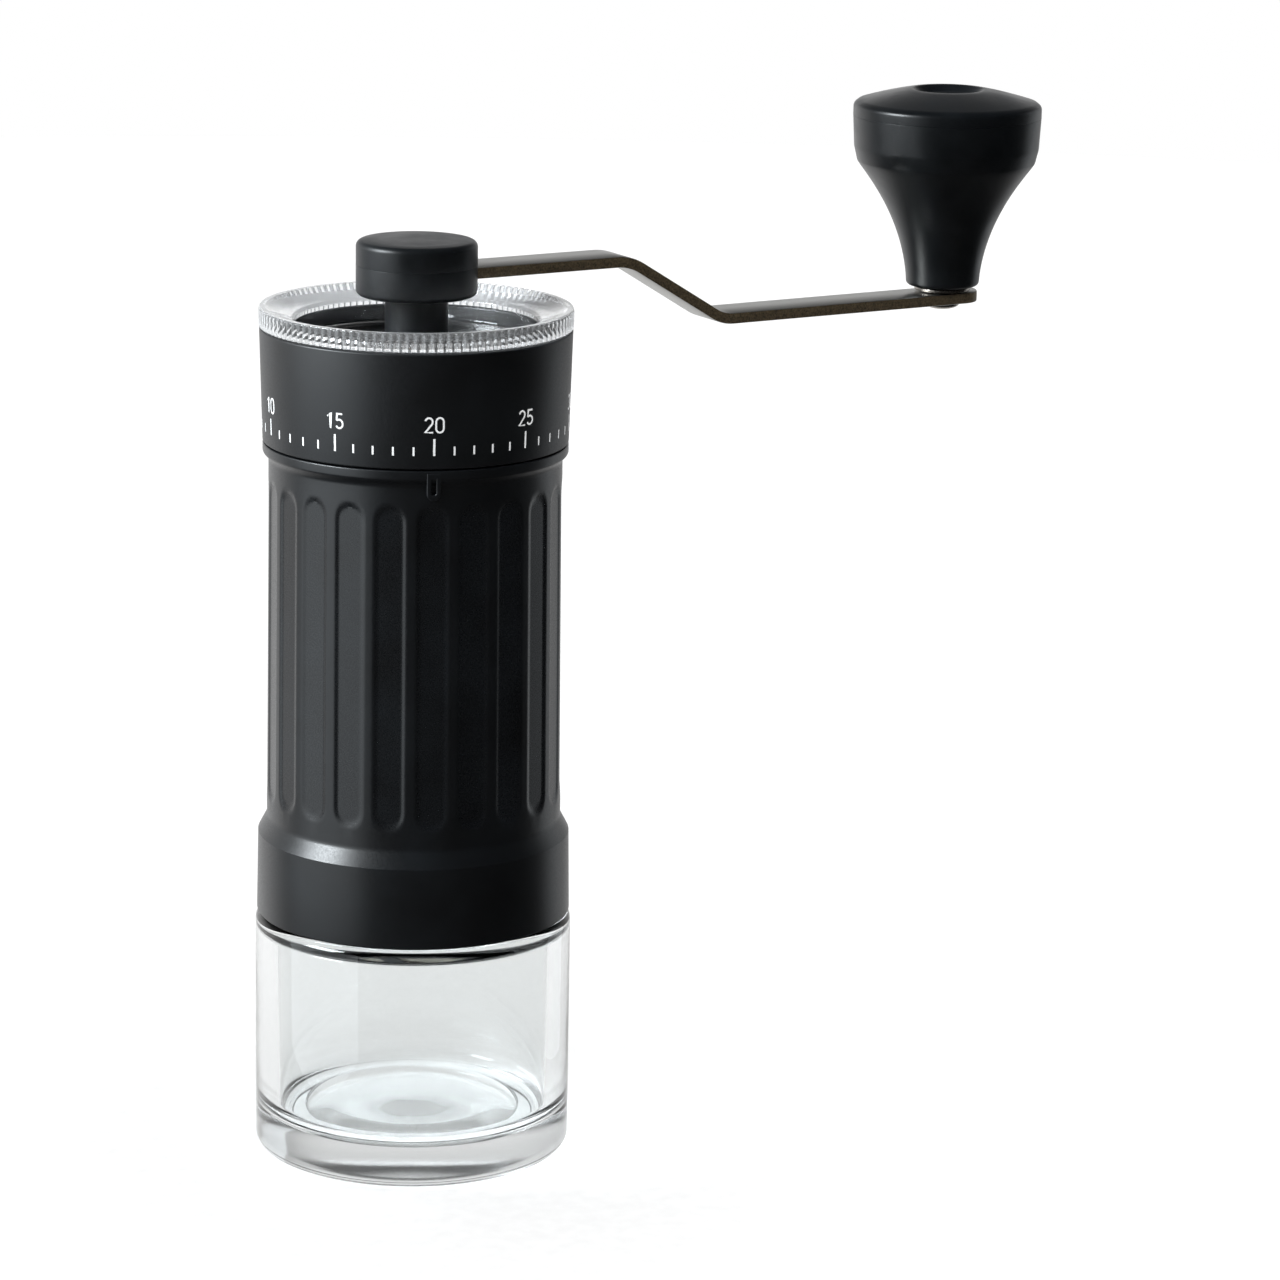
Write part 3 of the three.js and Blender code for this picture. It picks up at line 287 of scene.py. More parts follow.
def spread(tree, value, low, high, start=0.35, end=0.65):
    """Maps start..end of a value onto low..high."""
    inputs = {"From Min": start, "From Max": end, "To Min": low, "To Max": high}
    return node(tree, "ShaderNodeMapRange", inputs=inputs, links={"Value": value}).outputs["Result"]


def tint(tree, value, dark, light, start=0.3, end=0.7):
    """Two-colour ramp driven by a value."""
    ramp = node(tree, "ShaderNodeValToRGB", links={"Fac": value})
    ramp.color_ramp.elements[0].position = start
    ramp.color_ramp.elements[0].color = linear(dark)
    ramp.color_ramp.elements[1].position = end
    ramp.color_ramp.elements[1].color = linear(light)
    return ramp.outputs["Color"]


def bump(tree, height, depth_mm, strength):
    """Relief up to depth_mm deep, toned down by its strength."""
    inputs = {"Strength": strength, "Distance": depth_mm * MM}
    return node(tree, "ShaderNodeBump", inputs=inputs, links={"Height": height}).outputs["Normal"]


def edge_wear(tree, width_mm):
    """Mask of the painted edge highlight: 1 along sharp edges within about width_mm, 0 on open surfaces."""
    bevel = node(tree, "ShaderNodeBevel", {"samples": 4}, {"Radius": width_mm * MM}).outputs["Normal"]
    plain = node(tree, "ShaderNodeNewGeometry").outputs["Normal"]
    alike = node(tree, "ShaderNodeVectorMath", {"operation": "DOT_PRODUCT"}, links={0: bevel, 1: plain})
    return spread(tree, alike.outputs["Value"], 0.0, 1.0, start=0.995, end=0.9)


# ------------------------------------------------------------------ finishes
def anodised_aluminium(name, dark="#08090b", light="#0e1114", rough=0.34):
    """Bead-blasted, black anodised aluminium: satin, a fine even sparkle, and sharp edges painted a touch
    brighter as a painted highlight.
    """
    material, tree, shader = new_material(name, Metallic=0.0, IOR=1.62, Specular_IOR_Level=0.5)
    point = object_point(tree)
    blasting = grain(tree, point, size_mm=0.28, detail=3)  # real grit is 0.1 mm: drawn coarser to show
    clouds = grain(tree, point, size_mm=16, detail=2)
    # Sharp edges are mixed to a lighter grey: a painted highlight.
    edges_with_painted_highlight = node(tree, "ShaderNodeMix", {"data_type": "RGBA"}, {"B": linear("#25282b")},
                {"Factor": edge_wear(tree, width_mm=0.25), "A": tint(tree, clouds, dark, light)})
    connect(tree, shader, edges_with_painted_highlight.outputs["Result"], spread(tree, blasting, rough - 0.05, rough + 0.07),
            bump(tree, blasting, depth_mm=0.012, strength=0.55))
    return material


def moulded_black(name, dark, light, rough):
    """Black moulded plastic from a spark-eroded tool: dull skin with a soft, broad gloss."""
    material, tree, shader = new_material(name, Metallic=0.0, IOR=1.49)
    point = object_point(tree)
    erosion = grain(tree, point, size_mm=0.22, detail=2)   # the mould's texture, about 0.2 mm
    handling = grain(tree, point, size_mm=9, detail=3)
    connect(tree, shader, tint(tree, handling, dark, light),
            spread(tree, handling, rough - 0.04, rough + 0.06),
            bump(tree, erosion, depth_mm=0.008, strength=0.5))
    return material


def moulded_grey(name):
    """Glass-filled nylon: grey, faintly mottled by the fibres."""
    material, tree, shader = new_material(name, Metallic=0.0, IOR=1.53)
    point = object_point(tree)
    fibres = grain(tree, point, size_mm=0.5, detail=4)
    connect(tree, shader, tint(tree, fibres, "#3b3e41", "#54585b"), spread(tree, fibres, 0.5, 0.68),
            bump(tree, fibres, depth_mm=0.01, strength=0.5))
    return material


def clear_moulding(name, clarity):
    """Clear moulded copolyester: glossy, nearly colourless, with faint flow lines."""
    material, tree, shader = new_material(
        name, Metallic=0.0, IOR=1.54, Transmission_Weight=clarity, Roughness=0.03,
        Base_Color=linear("#fbfcfd"))
    point = object_point(tree)
    flow = grain(tree, point, size_mm=6, detail=2)
    connect(tree, shader, normal=bump(tree, flow, depth_mm=0.03, strength=0.15))
    return material


def pressed_glass(name, rough):
    """Pressed soda glass: colourless, with a slow ripple left by the mould. Rough where it is stippled."""
    material, tree, shader = new_material(
        name, Metallic=0.0, IOR=1.52, Transmission_Weight=1.0, Roughness=rough,
        Base_Color=linear("#eef0f0"))
    point = object_point(tree)
    ripple = grain(tree, point, size_mm=14, detail=1)
    connect(tree, shader, normal=bump(tree, ripple, depth_mm=0.25, strength=0.12))
    return material


def satin_steel(name, dark, light, rough, line_mm, streak=1.0, turn=0.0):
    """Satin steel: fine even grain, drawn out into parallel lines where a belt has brushed it."""
    material, tree, shader = new_material(name, Metallic=1.0)
    point = object_point(tree)
    stretched = node(tree, "ShaderNodeMapping", {"vector_type": "TEXTURE"},
                     {"Scale": (streak, 1, 1), "Rotation": (0, 0, turn)}, {"Vector": point})
    lines = grain(tree, stretched.outputs["Vector"], size_mm=line_mm, detail=3)
    connect(tree, shader, tint(tree, lines, dark, light), spread(tree, lines, rough - 0.06, rough + 0.08),
            bump(tree, lines, depth_mm=0.006, strength=0.4))
    return material


def sheared_edge(name):
    """Blanked and tumbled edge of the steel strip: bronze-brown and coarsely grained, its colour darkened
    as painted shade on the narrow edges.
    """
    material, tree, shader = new_material(name, Metallic=0.5)
    point = object_point(tree)
    tear = grain(tree, point, size_mm=0.35, detail=5)
    # Dark bronze-brown ramp: partly the edge's own tone, partly painted shade.
    connect(tree, shader, tint(tree, tear, "#2b261e", "#6f614a"), spread(tree, tear, 0.38, 0.6),
            bump(tree, tear, depth_mm=0.03, strength=0.7))
    return material


def sintered_bronze(name):
    """Oil-soaked sintered bronze: dull brown gold with open pores."""
    material, tree, shader = new_material(name, Metallic=1.0)
    point = object_point(tree)
    pores = grain(tree, point, size_mm=0.4, detail=3)
    connect(tree, shader, tint(tree, pores, "#5e4220", "#b18a4c"), spread(tree, pores, 0.4, 0.62),
            bump(tree, pores, depth_mm=0.02, strength=0.6))
    return material


def ground_ceramic(name):
    """Fired alumina: cream white, matt, with fine speckle."""
    material, tree, shader = new_material(name, Metallic=0.0, IOR=1.76)
    point = object_point(tree)
    speckle = grain(tree, point, size_mm=0.6, detail=4)
    connect(tree, shader, tint(tree, speckle, "#d2cdc0", "#f0ece2"), spread(tree, speckle, 0.4, 0.55),
            bump(tree, speckle, depth_mm=0.01, strength=0.5))
    return material


def grey_silicone(name):
    """Moulded silicone: dull, slightly dusty grey rubber."""
    material, tree, shader = new_material(name, Metallic=0.0, IOR=1.41)
    point = object_point(tree)
    dust = grain(tree, point, size_mm=2.5, detail=4)
    connect(tree, shader, tint(tree, dust, "#7e8183", "#989b9c"), spread(tree, dust, 0.62, 0.8),
            bump(tree, dust, depth_mm=0.01, strength=0.3))
    return material


def white_ink(name):
    """Pad-printed white ink: flat, with the slight mottle of a thin coat."""
    material, tree, shader = new_material(name, Metallic=0.0, IOR=1.5)
    point = object_point(tree)
    coat = grain(tree, point, size_mm=0.3, detail=2)
    connect(tree, shader, tint(tree, coat, "#d9dbdc", "#f3f4f4"), spread(tree, coat, 0.5, 0.62))
    return material


BODY_BLACK = anodised_aluminium("bead_blasted_black_anodise")
# Flute floors: milled, so less rough, and a touch lighter in colour as a painted sheen.
FLUTE_BLACK_PAINTED_SHEEN = anodised_aluminium("milled_black_anodise_painted_sheen", dark="#08090b", light="#0f1215", rough=0.29)
DIAL_BLACK = anodised_aluminium("fine_black_anodise", rough=0.42)
KNOB_BLACK = moulded_black("spark_textured_black_plastic", "#07090b", "#0c0f12", rough=0.33)
HUB_BLACK = moulded_black("satin_black_plastic", "#0a0c0e", "#101316", rough=0.38)
NYLON_GREY = moulded_grey("glass_filled_grey_nylon")
LID_CLEAR = clear_moulding("clear_copolyester", clarity=1.0)
LID_RIBS = clear_moulding("ribbed_clear_plastic", clarity=0.9)
JAR_GLASS = pressed_glass("pressed_soda_glass", rough=0.0)
JAR_FOOT = pressed_glass("stippled_glass_foot", rough=0.12)
ARM_STEEL = satin_steel("belt_brushed_steel", "#8f8e8b", "#b9b8b4", rough=0.34, line_mm=0.18, streak=30,
                        turn=CRANK_ANGLE)
# Edge colour of the arm, darkened as painted shade.
EDGE_STEEL_PAINTED_SHADE = sheared_edge("steel_edge_painted_shade")
TURNED_STEEL = satin_steel("turned_steel", "#8b8680", "#bdb6ad", rough=0.28, line_mm=0.12)
SPRING_STEEL = satin_steel("drawn_spring_steel", "#6d6f71", "#94969a", rough=0.36, line_mm=0.2)
BUSH_BRONZE = sintered_bronze("oiled_sintered_bronze")
BURR_CERAMIC = ground_ceramic("ground_alumina")
SEAL_SILICONE = grey_silicone("moulded_silicone")
PRINT_WHITE = white_ink("pad_printed_white")


# ------------------------------------------------------------------ glass jar
def dome(radius, level, rise, shares):
    """Points of a shallow dome at shares of its radius. Its middle stands a rise above the level."""
    return [(radius * t, level + rise / 2 * (1 + math.cos(t * math.pi))) for t in shares]


def glass_jar():
    """Thick-walled jar with a rounded shoulder and a neck that the body screws onto."""
    wall, base, neck_height, neck_wall = 4.7, 8.6, 11.1, 3.0
    foot_rise, floor_rise = 0.5, 1.4
    shoulder = JAR_NECK_TOP - neck_height
    bore, neck_r = JAR_R - wall, BODY_R - 3.67
    neck_bore = neck_r - neck_wall
    outside = [(JAR_R * 0.82, 0.0, 1.2), (JAR_R, 0.0, 3.4), (JAR_R, shoulder, 2.5)]
    neck = [(neck_r, shoulder, 0.5), (neck_r, JAR_NECK_TOP, 1.2), (neck_bore, JAR_NECK_TOP, 1.2),
            (neck_bore, shoulder - 3.1, 0.5)]
    inside = [(bore, shoulder - 3.3, 2.3), (bore, base, 5.5), (bore * 0.75, base, 1.0)]
    outline = [(0, foot_rise)] + dome(JAR_R * 0.8, 0.0, foot_rise, (0.25, 0.5, 0.75, 0.9))
    outline += rounded(outside + neck + inside, 8)
    outline += dome(bore * 0.72, base, floor_rise, (0.9, 0.75, 0.5, 0.25)) + [(0, base + floor_rise)]
    jar = turned("glass_jar_wall", outline, 192, sharp=60)
    jar.visible_shadow = False
    place(jar, "jar", "glass", JAR_GLASS, "glass_jar")
    foot_top, foot_edge = 0.8, JAR_R - 2.4
    refinish(jar, JAR_FOOT, lambda face: height_of(face) < foot_top and across(face) < foot_edge)


def jar_gasket():
    """Flat ring that seals the jar's mouth against the body."""
    width, edge = 3, 0.4
    r, low, high = round_node("jar_gasket")
    gasket = turned("gasket_ring", ring_outline(r - width, r, low, high, edge), 96)
    place(gasket, "seal", "silicone", SEAL_SILICONE, "jar_gasket")


# ------------------------------------------------------------------ body
COLLAR_TOP = BODY_LOW + 16.7
GRIP_LOW = COLLAR_TOP + 7.0
GRIP_RISE = LIP_TOP - 5.2 - GRIP_LOW
GRIP_FOOT_R, GRIP_TOP_R = BODY_R - 2.07, BODY_R - 2.47
OUTER_SKIN = BODY_R - 3.4         # what lies nearer the axis is the body's inside
FLUTES = 22
FLUTE_HALF = 3.5                  # half a flute's width, and the radius of its round ends
FLUTE_DEPTH = 0.24
FLUTE_WALL = 1.1                  # run over which a flute's wall falls to its floor
FLUTE_LOW, FLUTE_HIGH = BODY_LOW + 24.1, BODY_LOW + 90.9


def flute_depth(arc_length, z):
    """Depth of the nearest flute: a flat-floored slot with round ends and softly blended walls."""
    along = max(FLUTE_LOW + FLUTE_HALF - z, z - (FLUTE_HIGH - FLUTE_HALF), 0)
    inside = FLUTE_HALF - math.hypot(arc_length, along)
    if inside <= 0:
        return 0.0
    t = min(1.0, inside / FLUTE_WALL)
    flat = (FLUTE_HALF ** 2 - arc_length ** 2) / (2 * BODY_R)
    return (FLUTE_DEPTH + flat) * t * t * (3 - 2 * t)


def fluted(r, z, angle):
    """Carves the flutes into the body's skin, with the middle of one at the front."""
    if r < OUTER_SKIN or not FLUTE_LOW <= z <= FLUTE_HIGH:
        return r
    pitch = 2 * math.pi / FLUTES
    offset = (angle + math.pi / 2 + pitch / 2) % pitch - pitch / 2
    return r - flute_depth(offset * r, z)


def on_grip(t):
    """Point on the tapered grip, from 0 at its foot to 1 at its top."""
    return GRIP_FOOT_R + (GRIP_TOP_R - GRIP_FOOT_R) * t, GRIP_LOW + GRIP_RISE * t


def on_flute_floor(face):
    """Whether a face of the body lies at the bottom of a flute."""
    z = height_of(face)
    land = on_grip((z - GRIP_LOW) / GRIP_RISE)[0]
    return FLUTE_LOW < z < FLUTE_HIGH and OUTER_SKIN < across(face) < land - FLUTE_DEPTH * 0.6


def fluted_body():
    """Collar, fluted grip and lip outside. Inside, the neck, the burrs' ledge and the jar's socket."""
    socket_r, neck_r = BODY_R - 3.27, LIP_R - 3.7
    neck_bore, upper_bore = neck_r - 2.1, GRIP_FOOT_R - 2.6
    ledge_bore, lower_bore = BODY_R - 11.3, GRIP_FOOT_R - 3.8
    ledge_top, ledge_low, socket_top = 93.0, 88.6, 63.5
    rows, steps_per_flute = 92, 28
    foot = [(socket_r, BODY_LOW, 0.2), (BODY_R, BODY_LOW, 0.35), (BODY_R - 0.27, COLLAR_TOP, 0.25),
            (GRIP_FOOT_R, COLLAR_TOP + 3.4, 2.2), (GRIP_FOOT_R - 0.02, COLLAR_TOP + 7.2)]
    grip = [on_grip(i / rows) for i in range(rows + 1)]
    lip = [grip[-1], (GRIP_TOP_R, LIP_TOP - 3.2, 1.8), (LIP_R, LIP_TOP - 1.9, 0.9), (LIP_R, LIP_TOP, 0.3)]
    inside = [(neck_r, LIP_TOP), (neck_r, BODY_NECK_TOP, 0.3), (neck_bore, BODY_NECK_TOP, 0.3),
              (neck_bore, LIP_TOP - 3.5), (upper_bore, LIP_TOP - 7), (upper_bore, ledge_top),
              (ledge_bore, ledge_top), (ledge_bore, ledge_low), (lower_bore, ledge_low),
              (lower_bore, socket_top), (socket_r, socket_top)]
    outline = rounded(foot, 6)[:-1] + grip + rounded(lip + inside, 6)[1:]
    shell = turned("fluted_body_shell", outline, FLUTES * steps_per_flute, sharp=24, radius_at=fluted)
    place(shell, "body", "body_black", BODY_BLACK, "housing")
    # Flute floors get the less rough finish with its painted sheen.
    refinish(shell, FLUTE_BLACK_PAINTED_SHEEN, on_flute_floor)


def index_lug():
    """Flat U-shaped pointer with a slot, hanging from the lip over the front flute."""
    half, length, half_thick, edge = 1.4, 5.7, 0.8, 0.22
    slot_half, slot_margin = 0.72, 1.0
    inset, drop = 0.95, 0.4
    arc_steps = 12
    curve = bpy.data.curves.new("index_outline", "CURVE")
    curve.dimensions, curve.fill_mode = "2D", "BOTH"
    curve.extrude, curve.bevel_depth, curve.bevel_resolution = half_thick, edge, 3

    def loop(half_width, top, bottom):
        """Adds an outline with a round lower end."""
        angles = [-math.pi * k / arc_steps for k in range(arc_steps + 1)]
        arc = [(half_width * math.cos(a), bottom + half_width + half_width * math.sin(a)) for a in angles]
        spline = curve.splines.new("POLY")
        points = [(half_width, top)] + arc + [(-half_width, top)]
        spline.points.add(len(points) - 1)
        for slot, (x, y) in zip(spline.points, points):
            slot.co = (x, y, 0, 1)
        spline.use_cyclic_u = True

    loop(half - edge, -0.3, edge - length)
    loop(slot_half, -slot_margin, slot_margin - length)
    holder = bpy.data.objects.new("index_outline", curve)
    bpy.context.scene.collection.objects.link(holder)
    graph = bpy.context.evaluated_depsgraph_get()
    mesh = bpy.data.meshes.new_from_object(holder.evaluated_get(graph))
    bpy.data.objects.remove(holder)
    bm = bmesh.new()
    bm.from_mesh(mesh)
    for vert in bm.verts:
        x, up, out = vert.co
        vert.co = (x, -(LIP_R - inset + out), LIP_TOP + up - drop)
    place(finish_mesh("index_pointer", bm), "body", "body_black", BODY_BLACK)


# ------------------------------------------------------------------ grind dial
def dial_radius(z):
    """Outer radius of the tapered dial at a height."""
    return DIAL_R - DIAL_TAPER * (DIAL_HIGH - z) / (DIAL_HIGH - DIAL_LOW)


def dial_ring():
    """Tapered ring, thicker round its mouth."""
    bottom_r = dial_radius(DIAL_LOW)
    bore, mouth, shelf = bottom_r - 3.6, bottom_r - 4.8, DIAL_HIGH - 4.6
    outline = rounded([
        (bore, DIAL_LOW, 0.2), (bottom_r, DIAL_LOW, 0.3), (DIAL_R, DIAL_HIGH, 0.35),
        (mouth, DIAL_HIGH, 0.4), (mouth, shelf, 0.2), (bore, shelf)], 4)
    place(turned("grind_dial", outline, 256), "dial", "dial_black", DIAL_BLACK, "dial_ring")


def bend(centre_x, centre_y, radius_x, radius_y, start, end):
    """Part of an ellipse, from one angle to another in degrees."""
    steps = 12
    angles = [math.radians(start + (end - start) * k / steps) for k in range(steps + 1)]
    return [(centre_x + radius_x * math.cos(a), centre_y + radius_y * math.sin(a)) for a in angles]


# Centre lines of the digits, on a cell that is CELL_WIDTH wide and 1 high.
DIGIT_HEIGHT, CELL_WIDTH, DIGIT_GAP, STROKE = 3.2, 0.56, 0.42, 0.36
DIGITS = {
    "0": [bend(0.28, 0.70, 0.24, 0.26, 0, 180) + bend(0.28, 0.30, 0.24, 0.26, 180, 360) + [(0.52, 0.70)]],
    "1": [[(0.10, 0.74), (0.33, 0.96), (0.33, 0.0)]],
    "2": [bend(0.28, 0.71, 0.23, 0.25, 165, -35) + [(0.05, 0.05), (0.54, 0.05)]],
    "3": [bend(0.27, 0.73, 0.21, 0.23, 155, -75) + bend(0.27, 0.28, 0.25, 0.24, 80, -155)],
    "4": [[(0.36, 0.98), (0.05, 0.27), (0.56, 0.27)], [(0.42, 0.52), (0.42, 0.0)]],
    "5": [[(0.49, 0.95), (0.12, 0.95), (0.08, 0.53)] + bend(0.27, 0.32, 0.25, 0.27, 125, -150)],
}


INK_TOP, INK_FOOT = 0.02, -0.05   # above the dial's surface, and below it


def ribbon(bm, points, width, to_surface):
    """Thin closed ribbon of ink along a line of points, laid on a surface."""
    half, sides = width / 2, []
    least = 0.5                   # keeps a sharp corner from widening the line too much
    for i, point in enumerate(points):
        before = Vector(points[max(i - 1, 0)])
        after = Vector(points[min(i + 1, len(points) - 1)])
        along = (after - before).normalized()
        sharpness = 1.0
        if 0 < i < len(points) - 1:
            one = (Vector(point) - before).normalized()
            sharpness = max(least, one.dot(along))
        side = Vector((-along.y, along.x)) * half / sharpness
        sides.append((Vector(point) + side, Vector(point) - side))
    rings = []
    for left, right in sides:
        corners = ((left, INK_TOP), (right, INK_TOP), (right, INK_FOOT), (left, INK_FOOT))
        rings.append([bm.verts.new(to_surface(*corner, lift)) for corner, lift in corners])
    for one, two in zip(rings, rings[1:]):
        for k in range(4):
            bm.faces.new((one[k], two[k], two[(k + 1) % 4], one[(k + 1) % 4]))
    bm.faces.new(rings[0])
    bm.faces.new(rings[-1][::-1])


SCALE_STEP = math.radians(7.5)
SCALE_MIDDLE, SCALE_LAST, LABEL_EVERY = 20, 40, 5
TICK_LOW = DIAL_LOW + 2.8
LONG_TICK, SHORT_TICK = (3.4, 0.44), (1.75, 0.38)      # height and width
NUMERAL_LOW = TICK_LOW + 4.55


def on_dial(middle_angle):
    """Maps x to the right and y up, in millimetres, onto the dial at an angle."""
    def to_surface(x, y, lift):
        radius = dial_radius(y) + lift
        angle = middle_angle + x / DIAL_R
        return (radius * math.cos(angle), radius * math.sin(angle), y)
    return to_surface


def numeral(bm, text, surface):
    """Prints a number, centred on the middle of a surface."""
    cell = DIGIT_HEIGHT * CELL_WIDTH
    pitch = cell + DIGIT_GAP
    start = -(pitch * (len(text) - 1) + cell) / 2
    for i, digit in enumerate(text):
        x0 = start + pitch * i
        for stroke in DIGITS[digit]:
            points = [(x0 + x * DIGIT_HEIGHT, NUMERAL_LOW + y * DIGIT_HEIGHT) for x, y in stroke]
            ribbon(bm, points, STROKE, surface)


def dial_scale():
    """Marks round the dial, with a number at every fifth one. The middle of the scale is at the front."""
    ticks, numerals = bmesh.new(), bmesh.new()
    for value in range(SCALE_LAST + 1):
        surface = on_dial(-math.pi / 2 + SCALE_STEP * (value - SCALE_MIDDLE))
        labelled = value % LABEL_EVERY == 0
        height, width = LONG_TICK if labelled else SHORT_TICK
        ribbon(ticks, [(0, TICK_LOW), (0, TICK_LOW + height)], width, surface)
        if labelled:
            numeral(numerals, str(value), surface)
    place(finish_mesh("scale_ticks", ticks), "dial", "dial_black", PRINT_WHITE)
    place(finish_mesh("scale_numerals", numerals), "dial", "dial_black", PRINT_WHITE)


# ------------------------------------------------------------------ clear lid
RIBS = 120
RIB_DEPTH = 0.5
RIB_TOP = 0.12                    # from the rim's top edge down to where the ribs end
RIB_RUN_OUT = 0.3                 # height over which they fade out there
RIB_SHAPE = 2.2                   # above 1 the valleys are narrow and the ribs broad


def ribbed(r, z, angle):
    """Ribs on the rim's outer wall, running out just under its top edge."""
    wall = 0.4
    if r < LID_R - wall or z > LID_TOP - RIB_TOP:
        return r
    phase = (angle * RIBS / (2 * math.pi)) % 1.0
    valley = abs(2 * phase - 1)
    fade = min(1.0, (LID_TOP - RIB_TOP - z) / RIB_RUN_OUT)
    return r - RIB_DEPTH * (1 - valley) ** RIB_SHAPE * fade


def clear_lid():
    """Clear cup with a hole and a low collar for the stem, under a ribbed rim that slopes inwards."""
    stem_hole, collar_wall, collar_height = 6.6, 0.4, 1.4
    cup_r, cup_wall, cup_floor = DIAL_R - 5.77, 1.3, 1.3
    steps_per_rib = 8
    rim_low, skirt_top = DIAL_HIGH + DIAL_GAP, LID_TOP - 0.6
    bore, floor, collar_r = cup_r - cup_wall, LID_LOW + cup_floor, stem_hole + collar_wall
    collar_top = floor + collar_height
    under = [(stem_hole, LID_LOW, 0.2), (cup_r, LID_LOW, 0.5), (cup_r, rim_low), (LID_R - 0.8, rim_low)]
    skirt = [(LID_R, rim_low + (skirt_top - rim_low) * t) for t in (0.02, 0.4, 0.7, 0.85, 0.95, 1.0)]
    rim = [(LID_R, skirt_top), (LID_R - 0.15, LID_TOP, 0.3), (LID_R - 1.4, LID_TOP - 0.05, 0.5)]
    cup = [(bore + 0.5, LID_TOP - 2.2, 0.6), (bore, LID_TOP - 2.9, 0.3), (bore, floor, 0.6)]
    collar = [(collar_r, floor, 0.4), (collar_r, collar_top, 0.15), (stem_hole, collar_top, 0.1)]
    outline = rounded(under, 3) + skirt + rounded(rim + cup + collar, 4)[1:]
    lid = turned("ribbed_clear_lid", outline, RIBS * steps_per_rib, sharp=40, radius_at=ribbed)
    lid.visible_shadow = False
    place(lid, "lid", "clear_plastic", LID_CLEAR, "clear_lid")
    refinish(lid, LID_RIBS, lambda face: across(face) > bore + 0.3 and height_of(face) > rim_low)


# ------------------------------------------------------------------ crank
ARM_THICK = 2.3
ARM_SEAT = ARM_HIGH - ARM_THICK
ARM_HALF = 5.2                    # half the strip's width, and the radius of its round tip
ARM_BACK = 9.0                    # from the axis to the strip's end in the hub
SEAM_EDGE = 0.07                  # tiny round on both sides of a seam, which shows it as a fine line


def crank_hub():
    """Stem and hub in one piece, with a slot for the arm in the hub's top."""
    stem, height = 6.4, 5.9
    slot_back, slot_half, slot_depth, clear = 9.6, 5.5, 0.3, 1
    low = HUB_HIGH - height
    outline = rounded([(0, STEM_LOW), (stem, STEM_LOW, 0.4), (stem, low, 0.5), (HUB_R, low, 1.1),
                       (HUB_R, CAP_LOW, SEAM_EDGE), (0, CAP_LOW)], 6)
    hub = turned("crank_hub_boss", outline, 144)
    carve(hub, block("arm_slot", (-slot_back, -slot_half, ARM_SEAT - slot_depth),
                     (HUB_R + 2 * clear, slot_half, HUB_HIGH + clear)))
    turn_about_axis(hub, CRANK_ANGLE)
    place(hub, "crank", "black_plastic", HUB_BLACK, "crank_hub")


def hub_cap():
    """Round cap over the hub, faintly domed."""
    dome_drop = 0.35
    crown = [(HUB_R * t, CAP_HIGH - dome_drop * t ** 2) for t in (0.75, 0.5, 0.25)]
    side = rounded([(0, CAP_LOW), (HUB_R, CAP_LOW, SEAM_EDGE), (HUB_R, CAP_HIGH - 0.5, 1.3),
                    (HUB_R * 0.8, CAP_HIGH - 0.22)], 8)
    cap = turned("crank_hub_cap", side + crown + [(0, CAP_HIGH)], 144)
    place(cap, "crank", "black_plastic", HUB_BLACK, "hub_cap")


def arm_path():
    """Distance along the strip to (run, rise, slope) of its bent underside."""
    first, second, drop, radius = 46.5, 69.0, ARM_SEAT - ARM_LOW, 10.0
    slope = math.atan2(drop, second - first)
    run = radius * math.tan(slope / 2)
    diagonal = math.hypot(drop, second - first)
    bend_length, endless = radius * slope, 1e6
    legs = [(first - run, 0.0), (bend_length, -1 / radius), (diagonal - 2 * run, 0.0),
            (bend_length, 1 / radius), (endless, 0.0)]

    def at(distance):
        """Follows the legs for a distance."""
        x = z = heading = 0.0
        left = distance
        for length, curl in legs:
            step = min(left, length)
            if curl:
                x += (math.sin(heading + curl * step) - math.sin(heading)) / curl
                z -= (math.cos(heading + curl * step) - math.cos(heading)) / curl
                heading += curl * step
            else:
                x += step * math.cos(heading)
                z += step * math.sin(heading)
            left -= step
            if left <= 0:
                break
        return x, z, heading
    return at


def strip_section(width):
    """Cross-section of the strip with eased edges. Width is half of it."""
    edge = 0.3
    corner = edge * 0.3
    half = [(width - edge, 0), (width - corner, corner), (width, edge), (width, ARM_THICK - edge),
            (width - corner, ARM_THICK - corner), (width - edge, ARM_THICK)]
    return half + [(-y, t) for y, t in reversed(half)]


